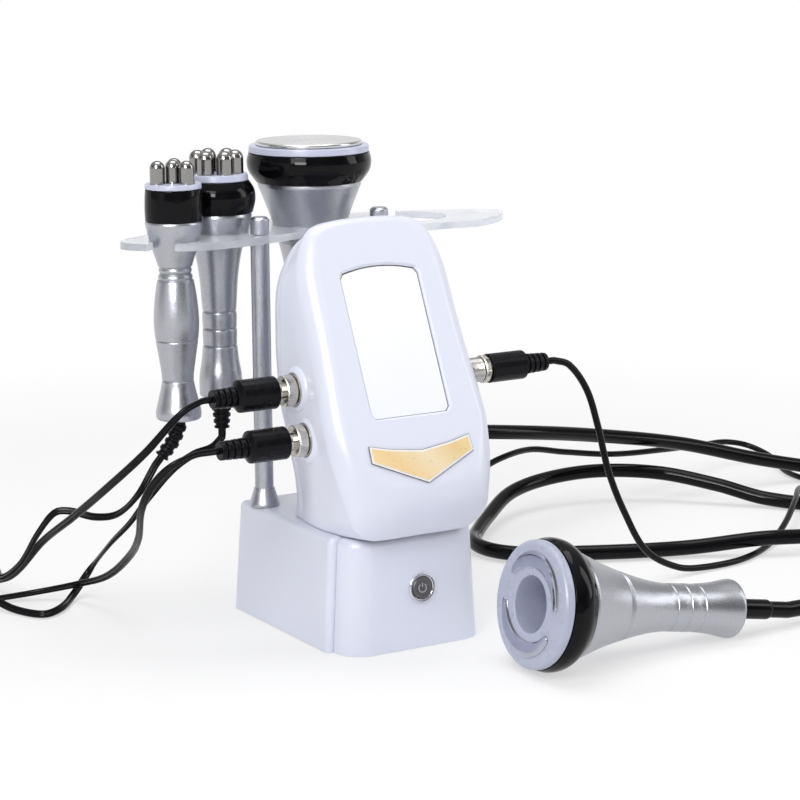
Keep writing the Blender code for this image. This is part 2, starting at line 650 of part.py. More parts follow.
def button_frame():
    """Axis of the power button, square to the leaning front of the cover; +Z points out."""
    lean = math.atan2(BASE_DRAFT, COVER_HEIGHT)
    front = COVER_FRONT + BASE_DRAFT * BUTTON_Z / COVER_HEIGHT
    turn = Matrix.Rotation(math.radians(90) - lean, 4, "X")
    return add_frame("button_axis", Matrix.Translation((BUTTON_X, front, BUTTON_Z)) @ turn)


def make_button(cover):
    """Bezel, pressed cap and switch body on the button's axis."""
    axis = button_frame()
    add_cut(cover, round_cutter("button_hole", BEZEL_TUBE_RADIUS + GAP, -COVER_WALL - OVERRUN,
                                COVER_EDGE_RADIUS, axis))
    rear = -BEZEL_TUBE_LENGTH
    bezel = [(BEZEL_BORE_RADIUS, BEZEL_LIP + GAP), (BEZEL_RADIUS - CAP_CHAMFER, BEZEL_LIP + GAP),
             (BEZEL_RADIUS, BEZEL_LIP + GAP - CAP_CHAMFER), (BEZEL_RADIUS, GAP),
             (BEZEL_TUBE_RADIUS, GAP), (BEZEL_TUBE_RADIUS, rear), (BEZEL_BORE_RADIUS, rear)]
    add_turned("button_bezel", bezel, "chrome", axis)
    top = BEZEL_LIP + GAP + CAP_PROUD
    low = top - CAP_THICKNESS
    radius = BEZEL_BORE_RADIUS - GAP
    cap = [(0, top), (radius - CAP_CHAMFER, top), (radius, top - CAP_CHAMFER), (radius, low), (0, low)]
    add_turned("button_cap", cap, "grey_metal", axis)
    floor = low - BUTTON_TRAVEL - GAP
    body_top = rear - GAP
    body = [(0, floor), (SWITCH_PLUNGER_RADIUS, floor), (SWITCH_PLUNGER_RADIUS, body_top),
            (BEZEL_TUBE_RADIUS, body_top), (BEZEL_TUBE_RADIUS, body_top - SWITCH_LENGTH),
            (0, body_top - SWITCH_LENGTH)]
    add_turned("button_switch", body, "matte_black", axis)


def make_inside_base():
    """Power supply and vacuum pump standing on the bottom plate."""
    floor = PLATE_THICKNESS + GAP
    wall = BASE_HALF_WIDTH - BASE_WALL
    outer = wall - SUPPLY_SIDE_ROOM
    front = BASE_FRONT + BASE_WALL + SUPPLY_FRONT_ROOM
    back = BASE_BACK - BASE_WALL - SUPPLY_BACK_ROOM
    add_box("power_supply", (outer - SUPPLY_MIDDLE_ROOM, back - front, SUPPLY_HEIGHT),
            (-(outer + SUPPLY_MIDDLE_ROOM) / 2, (front + back) / 2, floor + SUPPLY_HEIGHT / 2), "board",
            edge=SUPPLY_EDGE)
    head_width, head_depth, head_height = PUMP_HEAD_SIZE
    pump_x = wall - PUMP_SIDE_ROOM - head_width / 2
    motor_axis = Matrix.Translation((pump_x, PUMP_Y, floor + PUMP_MOTOR_RADIUS))
    lying = add_frame("pump_axis", motor_axis @ Matrix.Rotation(math.radians(-90), 4, "X"))
    half = PUMP_MOTOR_LENGTH / 2
    motor = [(0, half), (PUMP_MOTOR_RADIUS, half), (PUMP_MOTOR_RADIUS, -half), (0, -half)]
    pump = add_turned("vacuum_pump", motor, "grey_metal", lying)
    head = hide_cutter(add_box("pump_head_block", PUMP_HEAD_SIZE,
                               (pump_x, PUMP_Y - half - head_depth / 2 + OVERRUN,
                                floor + head_height / 2), "matte_black"))
    join = pump.modifiers.new("head_block", "BOOLEAN")
    join.object = head
    join.operation = "UNION"


def rear_seat(height):
    """Where the back wall's outer face lies at a height, less the depth of a seat."""
    return BASE_BACK - BASE_DRAFT * height / BASE_HEIGHT - REAR_SEAT_DEPTH


def make_inlet(housing):
    """The power inlet, seated in a flat spot of the back wall."""
    seat = rear_seat(INLET_Z)
    width, deep, tall = INLET_SIZE
    spot_deep = REAR_SEAT_DEPTH + OVERRUN
    add_cut(housing, box_cutter("inlet_seat", (width + GAP, spot_deep, tall + GAP),
                                (INLET_X, seat + spot_deep / 2, INLET_Z)))
    neck_width = width - 2 * INLET_FLANGE
    neck_tall = tall - 2 * INLET_FLANGE
    add_cut(housing, box_cutter("inlet_hole", (neck_width + GAP, deep + OVERRUN, neck_tall + GAP),
                                (INLET_X, seat - deep / 2 + OVERRUN, INLET_Z)))
    builder = bmesh.new()
    shape_mesh(builder, (width, INLET_FLANGE, tall), (INLET_X, seat + GAP + INLET_FLANGE / 2, INLET_Z))
    inlet = add_mesh("power_inlet", builder, "matte_black", smooth=False)
    body = hide_cutter(add_box("inlet_body", (neck_width - GAP, deep, neck_tall - GAP),
                               (INLET_X, seat + GAP + INLET_FLANGE / 2 - deep / 2, INLET_Z),
                               "matte_black"))
    join = inlet.modifiers.new("body", "BOOLEAN")
    join.object = body
    join.operation = "UNION"
    pocket_width, pocket_deep, pocket_tall = INLET_POCKET
    add_cut(inlet, box_cutter("inlet_pocket", (pocket_width, 2 * pocket_deep, pocket_tall),
                              (INLET_X, seat + INLET_FLANGE, INLET_Z)))


def make_nozzle(housing):
    """The nozzle that the air hose is pushed on, seated in a flat spot of the back wall."""
    behind = Matrix.Rotation(math.radians(-90), 4, "X")
    spot = Matrix.Translation((NOZZLE_X, rear_seat(NOZZLE_Z), NOZZLE_Z))
    axis = add_frame("nozzle_axis", spot @ behind)
    add_cut(housing, round_cutter("nozzle_seat", NOZZLE_FLANGE_RADIUS + GAP, 0,
                                  REAR_SEAT_DEPTH + OVERRUN, axis))
    add_cut(housing, round_cutter("nozzle_hole", NOZZLE_RADIUS + GAP, -BASE_WALL - OVERRUN,
                                  OVERRUN, axis))
    top = NOZZLE_FLANGE + GAP + NOZZLE_LENGTH
    bottom = -BASE_WALL - NOZZLE_FLANGE
    profile = [(NOZZLE_BORE, top), (NOZZLE_RADIUS, top), (NOZZLE_RADIUS, NOZZLE_FLANGE + GAP),
               (NOZZLE_FLANGE_RADIUS, NOZZLE_FLANGE + GAP), (NOZZLE_FLANGE_RADIUS, GAP),
               (NOZZLE_RADIUS, GAP), (NOZZLE_RADIUS, bottom), (NOZZLE_BORE, bottom)]
    add_turned("hose_nozzle", profile, "grey_metal", axis, FINE_STEPS)


def face_point(across, up, deep):
    """A place given on the leaning face: across it, up it and behind it."""
    sine = math.sin(FACE_LEAN)
    cosine = math.cos(FACE_LEAN)
    return Vector((across, FACE_Y + up * sine + deep * cosine, FACE_Z + up * cosine - deep * sine))


def spread(values, count):
    """Values read evenly along a smooth line through a short list, its ends kept."""
    points = [value if isinstance(value, tuple) else (value,) for value in values]
    knots = np.array(points, float)
    places = np.linspace(0, len(points) - 1, count)
    slopes = np.gradient(knots, axis=0)
    low = np.minimum(places.astype(int), len(points) - 2)
    step = (places - low)[:, None]
    square = step * step
    cube = square * step
    return ((2 * cube - 3 * square + 1) * knots[low] + (cube - 2 * square + step) * slopes[low]
            + (3 * square - 2 * cube) * knots[low + 1] + (cube - square) * slopes[low + 1])


def head_outlines():
    """The head's crease, rounding, cheek and parting outlines, as places on its right half."""
    count = HEAD_OUTLINE_STEPS
    crease = [(x * CREASE_HALF_WIDTH, s * CREASE_TOP) for x, s in spread(CREASE_SHARES, count)]
    rounding = [(x * ROUND_HALF_WIDTH, s * ROUND_TOP) for x, s in spread(ROUND_SHARES, count)]
    depths = [deep * ROUND_DEPTH for (deep,) in spread(ROUND_DEPTH_SHARES, count)]
    parting = [Vector((x * PARTING_HALF_WIDTH, 0, z * PARTING_TOP))
               for x, z in spread(PARTING_SHARES, count)]
    bulges = [share * CHEEK_BULGE for (share,) in spread(BULGE_SHARES, count)]
    return crease, rounding, depths, parting, bulges


def round_rows(crease, rounding, depths):
    """Rows that carry the flat face over its edge into the sides."""
    rows = [[face_point(x, s, 0) for x, s in crease]]
    for part in ROUND_STEP_SHARES:
        angle = part * math.pi / 2
        reach = ROUND_BLEND_SHARE * math.sin(angle) + (1 - ROUND_BLEND_SHARE) * part
        sink = ROUND_BLEND_SHARE * (1 - math.cos(angle)) + (1 - ROUND_BLEND_SHARE) * part
        rows.append([face_point(a[0] + (b[0] - a[0]) * reach, a[1] + (b[1] - a[1]) * reach, deep * sink)
                     for a, b, deep in zip(crease, rounding, depths)])
    return rows


def cheek_rows(edge, parting, bulges):
    """Rows from the rounding back to the parting plane, full at the cheeks."""
    rows = []
    for part in CHEEK_STEP_SHARES:
        row = []
        for start, stop, bulge in zip(edge, parting, bulges):
            spot = start.lerp(stop, part)
            spot.x += 4 * bulge * part * (1 - part)
            row.append(spot)
        rows.append(row)
    return rows


def rear_rows(parting):
    """Rows from the parting plane over the domed back."""
    rows = [[Vector((spot.x, GAP, spot.z)) for spot in parting],
            [Vector((spot.x, GAP + REAR_LAND, spot.z)) for spot in parting]]
    for back, inset in REAR_STEP_SHARES:
        row = []
        for spot in parting:
            keep = 1 - inset * REAR_INSET / PARTING_HALF_WIDTH
            rise = 1 - inset * REAR_INSET / (PARTING_TOP - REAR_CENTRE_Z)
            height = spot.z
            if height > REAR_CENTRE_Z:
                height = REAR_CENTRE_Z + (height - REAR_CENTRE_Z) * rise
            row.append(Vector((spot.x * keep, GAP + REAR_LAND + back * (REAR_DEPTH - REAR_LAND), height)))
        rows.append(row)
    return rows


def head_shell(name, rows, closed_end, look):
    """A mirrored, open-bottomed shell through half rows; one end row is closed by a flat face."""
    rings = [list(row) + [Vector((-spot.x, spot.y, spot.z)) for spot in reversed(row[1:-1])]
             for row in rows]
    builder = bmesh.new()
    built = add_rings(builder, rings)
    builder.faces.new(built[closed_end])
    bmesh.ops.recalc_face_normals(builder, faces=builder.faces)
    middle = sum((face.calc_center_median() for face in builder.faces), Vector()) / len(builder.faces)
    lid = builder.faces[:][-1]
    if lid.normal.dot(lid.calc_center_median() - middle) < 0:
        bmesh.ops.reverse_faces(builder, faces=builder.faces)
    everything = builder.verts[:] + builder.edges[:] + builder.faces[:]
    bmesh.ops.bisect_plane(builder, geom=everything, plane_co=(0, 0, HEAD_BOTTOM),
                           plane_no=(0, 0, -1), clear_outer=True)
    shell = add_mesh(name, builder, look)
    add_shell(shell, HEAD_WALL)
    return shell


def make_head():
    crease, rounding, depths, parting, bulges = head_outlines()
    front_rows = round_rows(crease, rounding, depths)
    front_rows += cheek_rows(front_rows[-1], parting, bulges)
    front = head_shell("head_front_shell", front_rows, 0, "white_gloss")
    head_shell("head_rear_shell", rear_rows(parting), -1, "white_gloss")
    return front


def window_outline(grow):
    """The window's outline on the face, with rounded lower corners and a crowned top."""
    half = WINDOW_HALF_WIDTH + grow
    low = WINDOW_BOTTOM - grow
    high = WINDOW_TOP + grow
    corner = WINDOW_CORNER + grow
    outline = [(half - corner, low), (half, low + corner), (half, high - corner)]
    for step in range(1, WINDOW_CROWN_STEPS):
        across = half * (1 - 2 * step / WINDOW_CROWN_STEPS)
        outline.append((across, high + WINDOW_CROWN * (1 - (across / half) ** 2)))
    outline += [(-half, high - corner), (-half, low + corner), (corner - half, low)]
    return outline


def face_rings(steps):
    """Rings of the window's outline at depths behind the face."""
    return [[face_point(x, s, deep) for x, s in window_outline(grow)] for grow, deep in steps]


def face_block(name, half_width, low, high, front, thickness, look):
    """A plain block lying behind the face and square to it."""
    corners = [(-half_width, low), (half_width, low), (half_width, high), (-half_width, high)]
    rings = [[face_point(x, s, deep) for x, s in corners] for deep in (front, front + thickness)]
    return ring_solid(name, rings, look)


def make_screen(front):
    """Window opening with a sloping edge, the window, and the display parts behind it."""
    steps = [(WINDOW_BEVEL + OVERRUN, -OVERRUN), (WINDOW_BEVEL, 0), (GAP, WINDOW_RECESS),
             (GAP, HEAD_WALL + OVERRUN)]
    add_cut(front, hide_cutter(ring_solid("window_opening", face_rings(steps), "matte_black")))
    rear = WINDOW_RECESS + WINDOW_THICKNESS
    ring_solid("display_window", face_rings([(0, WINDOW_RECESS), (0, rear)]), "screen")
    module = rear + GAP
    half = WINDOW_HALF_WIDTH + MODULE_MARGIN
    low = WINDOW_BOTTOM - MODULE_MARGIN
    high = WINDOW_TOP + MODULE_MARGIN
    face_block("display_module", half, low, high, module, MODULE_THICKNESS, "grey_metal")


def make_badge():
    outline = [(across * BADGE_HALF_WIDTH, BADGE_TOP + drop * (BADGE_BOTTOM - BADGE_TOP))
               for across, drop in BADGE_SHARES]
    rings = [[face_point(x, s, deep) for x, s in outline] for deep in (-GAP, -GAP - BADGE_THICKNESS)]
    ring_solid("badge_plate", rings, "gold")


def side_frame(name, plan):
    """An axis that points out of the head's side, its zero at the side's widest place."""
    turn = Matrix.Rotation(math.radians(90 * plan["side"]), 4, "Y")
    spot = Matrix.Translation((plan["side"] * ROUND_HALF_WIDTH, plan["y"], plan["z"]))
    return add_frame(name, spot @ turn)


def socket_profile(plan, threaded):
    top = plan["stub"]
    seat = plan["seat"] + GAP
    flange = SOCKET_FLANGE_FACE
    rear = seat - SOCKET_BODY_LENGTH
    profile = [(SOCKET_BORE_RADIUS, top), (STUB_RADIUS, top)]
    if threaded:
        profile += [(STUB_RADIUS, THREAD_END), (THREAD_RADIUS, THREAD_END), (THREAD_RADIUS, flange)]
    else:
        profile += [(STUB_RADIUS, flange)]
    profile += [(SOCKET_FLANGE_RADIUS, flange), (SOCKET_FLANGE_RADIUS, seat), (SOCKET_BODY_RADIUS, seat),
                (SOCKET_BODY_RADIUS, rear), (0, rear), (0, top - SOCKET_BORE_DEPTH),
                (SOCKET_BORE_RADIUS, top - SOCKET_BORE_DEPTH)]
    return profile


def opening_profile(plan):
    """A cut for the socket: a flat seat for its flange and a hole for its body."""
    outside = SOCKET_FLANGE_FACE + OVERRUN
    inside = plan["seat"] - SOCKET_BODY_LENGTH
    seat_radius = SOCKET_FLANGE_RADIUS + GAP
    body_radius = SOCKET_BODY_RADIUS + GAP
    return [(0, outside), (seat_radius, outside), (seat_radius, plan["seat"]),
            (body_radius, plan["seat"]), (body_radius, inside), (0, inside)]


def plug_profile(plan):
    """Moulded body with a shoulder, then a boot with grooves between its ribs."""
    start = plan["neck_end"] + GAP
    body_end = plan["body_end"]
    boot = plan["boot_end"] - body_end
    pitch = boot / BOOT_RIBS
    profile = [(0, start), (plan["body_radius"], start), (plan["body_radius"], body_end - PLUG_SHOULDER),
               (plan["boot_radius"], body_end)]
    for rib in range(BOOT_RIBS):
        share = rib / BOOT_RIBS
        radius = plan["boot_radius"] + share * (plan["tip_radius"] - plan["boot_radius"])
        begin = body_end + rib * pitch
        profile += [(radius - BOOT_GROOVE_DEPTH, begin + pitch / 4),
                    (radius - BOOT_GROOVE_DEPTH, begin + pitch / 2), (radius, begin + 3 * pitch / 4)]
    profile += [(plan["tip_radius"], plan["boot_end"]), (0, plan["boot_end"])]
    return list(reversed(profile))


def make_connectors(front):
    """A socket, coupling nut and plug for each of the three corded handpieces on the tray."""
    for name, plan in CONNECTORS.items():
        axis = side_frame(name + "_plug_axis", plan)
        add_cut(front, hide_cutter(add_turned(name + "_socket_opening", opening_profile(plan),
                                              "matte_black", axis)))
        threaded = plan["nut_start"] > THREAD_END
        add_turned(name + "_socket", socket_profile(plan, threaded), "chrome", axis, FINE_STEPS)
        bore = STUB_RADIUS + NUT_CLEARANCE
        neck_bore = plan["neck_radius"] - NECK_WALL
        stub_end = plan["stub"] + GAP
        nut = [(neck_bore, plan["neck_end"]), (plan["neck_radius"], plan["neck_end"]),
               (plan["neck_radius"], plan["nut_end"]), (plan["nut_radius"], plan["nut_end"]),
               (plan["nut_radius"], plan["nut_start"]), (bore, plan["nut_start"]), (bore, stub_end),
               (neck_bore, stub_end)]
        add_turned(name + "_coupling_nut", nut, "chrome", axis, FINE_STEPS)
        add_turned(name + "_plug", plug_profile(plan), "matte_black", axis, FINE_STEPS)


def make_posts():
    """Two posts with flared feet; a stud on each goes through the tray into its cap."""
    tray_bottom = TRAY_TOP - TRAY_THICKNESS
    foot = HEAD_BOTTOM
    top = tray_bottom - GAP
    stud_top = TRAY_TOP + GAP + STUD_LENGTH / 2
    for side, label in ((-1, "left"), (1, "right")):
        axis = add_frame(label + "_post_axis", Matrix.Translation((side * POST_X, POST_Y, 0)))
        post = [(0, stud_top), (STUD_RADIUS, stud_top), (STUD_RADIUS, top), (POST_RADIUS, top),
                (POST_RADIUS, foot + POST_FOOT_HEIGHT), (POST_FOOT_NECK, foot + POST_FOOT_HEIGHT),
                (POST_FOOT_RADIUS, foot + CAP_EDGE), (POST_FOOT_RADIUS, foot), (0, foot)]
        add_turned("tray_post_" + label, post, "chrome", axis)
        low = TRAY_TOP + GAP
        high = low + CAP_HEIGHT
        hollow = STUD_RADIUS + GAP
        cap = [(0, high), (POST_RADIUS - CAP_EDGE, high), (POST_RADIUS, high - CAP_EDGE),
               (POST_RADIUS, low), (hollow, low), (hollow, stud_top + GAP), (0, stud_top + GAP)]
        add_turned("post_cap_" + label, cap, "chrome", axis)


def handle_profile(name):
    """Outer profile of a handle, from its top down."""
    plan = HANDPIECES[name]
    tall = plan["top"] - plan["bottom"]
    return [(radius * plan["radius"], plan["bottom"] + height * tall)
            for radius, height in HANDLE_SHARES[name]]


def hole_radius(name):
    """The tray's hole just clears the cone that rests in it."""
    profile = handle_profile(name)
    heights = [height for radius, height in reversed(profile)]
    radii = [radius for radius, height in reversed(profile)]
    return float(np.interp(TRAY_TOP, heights, radii)) + TRAY_HOLE_CLEARANCE


def make_tray():
    """The clear tray: a lens-shaped plate with four holes, each open to the edge by a slot."""
    left = HANDPIECES["small"]["x"] - TRAY_LEFT_ROOM
    right = HANDPIECES["vacuum"]["x"] + TRAY_RIGHT_ROOM
    half = [(across * (right - left) / 2, TRAY_MIDDLE + along * TRAY_DEPTH)
            for across, along in spread(TRAY_SHARES, TRAY_OUTLINE_STEPS)]
    half[0] = (0, half[0][1])
    half[-1] = (0, half[-1][1])
    bottom = TRAY_TOP - TRAY_THICKNESS
    outline = [(across + (left + right) / 2, along) for across, along in mirror_outline(half)]
    tray = flat_piece("holder_tray", outline, bottom, TRAY_TOP, "clear")
    for name, plan in HANDPIECES.items():
        seat = add_frame(name + "_holder_axis", Matrix.Translation((plan["x"], plan["y"], 0)))
        seat.rotation_euler = (0, 0, math.radians(plan["slot_turn"]))
        hole = round_cutter(name + "_holder_hole", hole_radius(name), bottom - OVERRUN,
                            TRAY_TOP + OVERRUN, seat, WIDE_STEPS)
        slot = box_cutter(name + "_holder_slot",
                          (SLOT_REACH, 2 * SLOT_HALF_WIDTH, TRAY_THICKNESS + 2 * OVERRUN),
                          (SLOT_REACH / 2, 0, TRAY_TOP - TRAY_THICKNESS / 2), seat)
        add_cut(tray, hole)
        add_cut(tray, slot)
    for side in (-1, 1):
        seat = add_frame("stud_seat_%d" % side, Matrix.Translation((side * POST_X, POST_Y, 0)))
        add_cut(tray, round_cutter("stud_hole_%d" % side, STUD_RADIUS + GAP, bottom - OVERRUN,
                                   TRAY_TOP + OVERRUN, seat, FINE_STEPS))


def band_profile(name, bore):
    """The black band above a handle, solid or with a bore."""
    plan = BANDS[name]
    low = HANDPIECES[name]["top"] + GAP
    high = HANDPIECES[name]["top"] + plan["height"]
    outer = [(radius, high - share * (high - low))
             for radius, share in zip(plan["radii"], BAND_STEP_SHARES)]
    return [(bore, high)] + outer + [(bore, low)]


def dome_places(plan):
    """Centres of the dome electrodes: evenly round a circle, and one in the middle if asked for."""
    turns = [plan["first"] + 360 * number / plan["count"] for number in range(plan["count"])]
    places = [(plan["circle"] * math.cos(math.radians(turn)), plan["circle"] * math.sin(math.radians(turn)))
              for turn in turns]
    return places + [(0, 0)] if plan["middle"] else places


def make_electrodes(name, plan, ring, low, high, axis):
    """Round-ended electrodes on a carrier under the pale ring, which they stand up through."""
    reach = plan["circle"] + plan["radius"] + CARRIER_MARGIN
    floor = low
    carrier_top = floor + CARRIER_THICKNESS
    carrier = add_turned(name + "_electrodes", [(0, carrier_top), (reach, carrier_top), (reach, floor),
                                                (0, floor)], "chrome", axis)
    add_cut(ring, round_cutter(name + "_carrier_pocket", reach + GAP, floor - OVERRUN,
                               carrier_top + GAP, axis))
    radius = plan["radius"]
    crown = high + plan["height"]
    shoulder = crown - radius
    arc = [math.pi / 2 * (1 - step / DOME_ARC_STEPS) for step in range(DOME_ARC_STEPS + 1)]
    dome = [(radius * math.cos(angle), shoulder + radius * math.sin(angle)) for angle in arc]
    dome[0] = (0, crown)
    dome += [(radius, floor + CARRIER_THICKNESS / 2), (0, floor + CARRIER_THICKNESS / 2)]
    for number, (across, along) in enumerate(dome_places(plan)):
        spot = add_frame("%s_dome_%d_axis" % (name, number), Matrix.Translation((across, along, 0)))
        spot.parent = axis
        stem = hide_cutter(add_turned("%s_dome_%d" % (name, number), dome, "chrome", spot, FINE_STEPS))
        join = carrier.modifiers.new("dome_%d" % number, "BOOLEAN")
        join.object = stem
        join.operation = "UNION"
        add_cut(ring, round_cutter("%s_dome_hole_%d" % (name, number), radius + GAP, floor,
                                   high + OVERRUN, spot, FINE_STEPS))


def relief_points(plan, top_x, top_y, top_z):
    """Centre line of a strain relief: straight down first, then drifting to its side."""
    straight = plan["straight"]
    knots = [(top_x, top_y, top_z), (top_x, top_y, top_z - straight / 2),
             (top_x, top_y, top_z - straight)]
    across, along = plan["drift"]
    for part in (0.5, 1):
        lean = part ** 1.5
        knots.append((top_x + across * lean, top_y + along * lean,
                      top_z - straight - part * (plan["drop"] - straight)))
    return smooth_points(knots, 3 * RELIEF_RIBS + 1)


def make_relief(name, plan, handpiece):
    """A tapering, ribbed strain relief; gives back its end and the way it points."""
    points = relief_points(plan, handpiece["x"], handpiece["y"], handpiece["bottom"] - GAP)
    radii = []
    for index in range(len(points)):
        share = index / (len(points) - 1)
        radius = plan["radius"] + share * (plan["tip"] - plan["radius"])
        groove = index % 3 == 2
        radii.append(radius - RELIEF_GROOVE if groove else radius)
    radii[0] = plan["radius"]
    add_tube(name, points, plan["radius"], "matte_black", 2, radii)
    heading = points[-1] - points[-2]
    return points[-1], heading / np.linalg.norm(heading)


def make_upright(name, domes, relief):
    """Handle, band, pale ring and face of a handpiece that stands in the tray."""
    plan = HANDPIECES[name]
    steps = WIDE_STEPS if domes is None else ROUND_STEPS
    axis = add_frame(name + "_handpiece_axis", Matrix.Translation((plan["x"], plan["y"], 0)))
    profile = [(0, plan["top"])] + handle_profile(name) + [(0, plan["bottom"])]
    add_turned(name + "_handle", profile, "silver", axis, steps)
    add_turned(name + "_band", band_profile(name, 0), "gloss_black", axis, steps)
    ring = RINGS[name]
    low = plan["top"] + BANDS[name]["height"] + GAP
    high = low + ring["height"]
    collar = add_turned(name + "_insulator_ring",
                        [(0, high), (ring["high"], high), (ring["low"], low), (0, low)],
                        "pale_ring", axis, steps)
    if domes is not None:
        make_electrodes(name, domes, collar, low, high, axis)
    else:
        base = high + GAP
        disc = [(0, base + DISC_THICKNESS), (DISC_RADIUS - DISC_EDGE, base + DISC_THICKNESS),
                (DISC_RADIUS, base + DISC_THICKNESS - DISC_EDGE), (DISC_RADIUS, base), (0, base)]
        add_turned(name + "_disc", disc, "chrome", axis, WIDE_STEPS)
    return make_relief(name + "_strain_relief", relief, plan)


def vacuum_face_height():
    return HANDPIECES["vacuum"]["top"] + BANDS["vacuum"]["height"] + CUP_RIM_HEIGHT


def vacuum_contacts():
    """The two rings that the lying handpiece rests on: distance behind the face, and radius."""
    face = vacuum_face_height()
    handle = handle_profile("vacuum")
    band = band_profile("vacuum", 0)[1:-1]
    flare = max(handle[len(handle) // 2:], key=lambda corner: corner[0])
    best = None
    for radius, height in band:
        slope = (radius - flare[0]) / (height - flare[1])
        if best is None or slope > best[0]:
            best = (slope, radius, face - height)
    return best, (flare[0], face - flare[1])


def vacuum_frame():
    """Places the vacuum handpiece on the table; +Z runs out of its cup."""
    (slope, radius, behind), tail = vacuum_contacts()
    tilt = math.atan(slope)
    lift = (radius + behind * slope) * math.cos(tilt) + GAP
    turn = (Matrix.Rotation(VACUUM_YAW, 4, "Z") @ Matrix.Rotation(math.radians(-90) + tilt, 4, "Y"))
    spot = Matrix.Translation((VACUUM_FACE_X, VACUUM_FACE_Y, lift))
    return spot @ turn @ Matrix.Translation((0, 0, -vacuum_face_height()))


def crescent(side):
    """A band along an arc, tapering to both ends, in the plane of the cup's face."""
    outer = []
    inner = []
    for number in range(CRESCENT_STEPS):
        share = number / (CRESCENT_STEPS - 1)
        angle = CRESCENT_HALF_ANGLE * (2 * share - 1) + side * CRESCENT_TURN
        fullness = CRESCENT_END_SHARE + (1 - CRESCENT_END_SHARE) * math.sin(math.pi * share)
        half = CRESCENT_WIDTH / 2 * fullness
        direction = (side * math.cos(angle), math.sin(angle))
        outer.append([(CRESCENT_RADIUS + half) * part for part in direction])
        inner.append([(CRESCENT_RADIUS - half) * part for part in direction])
    return outer + inner[::-1]


def make_crescents(floor, axis):
    """The upper and lower electrode strips on the cup's face."""
    for side, label in ((1, "upper"), (-1, "lower")):
        builder = bmesh.new()
        outline = crescent(side)
        rows = add_rings(builder, [[(x, y, floor + level) for x, y in outline]
                                   for level in (0, CRESCENT_THICKNESS)])
        last = len(outline) - 1
        for number in range(CRESCENT_STEPS - 1):
            for row in rows:
                builder.faces.new((row[number], row[number + 1], row[last - number - 1],
                                   row[last - number]))
        bmesh.ops.recalc_face_normals(builder, faces=builder.faces)
        add_mesh("vacuum_electrode_" + label, builder, "chrome", axis, smooth=False)


def make_vacuum_handpiece():
    """The large handpiece on the table: a bored handle and band round a cup with two electrodes."""
    matrix = vacuum_frame()
    axis = add_frame("vacuum_handpiece_axis", matrix)
    plan = HANDPIECES["vacuum"]
    rim_top = vacuum_face_height()
    rim_low = rim_top - CUP_RIM_HEIGHT + GAP
    tube = CUP_BORE_RADIUS + CUP_WALL
    floor = rim_top - CUP_DEPTH
    cup = [(CUP_BORE_RADIUS, rim_top), (CUP_RIM_RADIUS - CUP_RIM_EDGE, rim_top),
           (CUP_RIM_RADIUS, rim_top - CUP_RIM_EDGE), (CUP_RIM_RADIUS, rim_low), (tube, rim_low),
           (tube, floor - CUP_WALL), (0, floor - CUP_WALL), (0, floor), (CUP_BORE_RADIUS, floor)]
    add_turned("vacuum_cup", cup, "pale_ring", axis, WIDE_STEPS)
    add_turned("vacuum_band", band_profile("vacuum", tube + GAP), "gloss_black", axis, WIDE_STEPS)
    pocket = floor - CUP_WALL - GAP
    outer = handle_profile("vacuum")
    handle = [(tube + GAP, plan["top"])] + outer + [(0, plan["bottom"]), (0, pocket), (tube + GAP, pocket)]
    add_turned("vacuum_handle", handle, "silver", axis, WIDE_STEPS)
    make_crescents(rim_top + GAP, axis)
    top = plan["bottom"] - GAP
    low = top - SLEEVE_LENGTH
    sleeve = [(0, top), (SLEEVE_RADIUS, top), (SLEEVE_RADIUS, low + SLEEVE_RIM),
              (SLEEVE_RADIUS - SLEEVE_RIM / 2, low), (0, low)]
    add_turned("vacuum_hose_sleeve", sleeve, "gloss_black", axis)
    heading = -np.array(matrix.to_3x3().col[2])
    end = np.array(matrix @ Vector((0, 0, low)))
    return end, heading


def lead_in(end, heading, radius):
    """First points of a cord that leaves an end face: a small gap, then straight on."""
    start = np.array(end) + GAP * np.array(heading)
    return [start + 2 * radius * step * np.array(heading) for step in LEAD_STEP_SHARES]


def free_cord(name, start, route, finish, radius, step, look, fineness):
    """A cord from one end face to another through its route."""
    first = lead_in(*start, radius)
    last = lead_in(*finish, radius)[::-1]
    knots = first[1:] + list(route) + last[:-1]
    length = route_length(smooth_points(knots, ROUTE_SAMPLES * len(knots)))
    points = smooth_points(knots, int(length / step) + 1)
    points = [first[0], *points, last[-1]]
    length = route_length(points)
    add_tube(name, points, radius, look, fineness)
    print("%s: %.3f m in %d points" % (name, length, len(points)))
    return length


def coil_points(plan):
    """Turns of a coil one above the other, with a straight diameter at both ends."""
    count = int(COIL_TURNS * COIL_POINTS) + 1
    points = []
    for number in range(count):
        angle = math.radians(plan["first"]) + plan["turn"] * 2 * math.pi * number / COIL_POINTS
        points.append((plan["x"] + COIL_RADIUS * math.cos(angle), plan["y"] + COIL_RADIUS * math.sin(angle),
                       COIL_LIFT + LIMP_RADIUS + COIL_PITCH * number / COIL_POINTS))
    ways = []
    for number in (0, count - 1):
        angle = math.radians(plan["first"]) + plan["turn"] * 2 * math.pi * number / COIL_POINTS
        ways.append(plan["turn"] * np.array((-math.sin(angle), math.cos(angle), 0)))
    points.insert(0, tuple(np.array(points[0]) - 2 * LIMP_RADIUS * ways[0]))
    points.append(tuple(np.array(points[-1]) + 2 * LIMP_RADIUS * ways[1]))
    return points, ways


def least_self_gap(points, radius):
    """Least distance between the surfaces of turns that aren't neighbours along the tube."""
    places = np.array(points)
    apart = np.linalg.norm(places[:, None] - places[None], axis=2)
    index = np.arange(len(places))
    near = np.abs(index[:, None] - index[None]) < COIL_POINTS // 3
    return float(np.where(near, np.inf, apart).min()) - 2 * radius


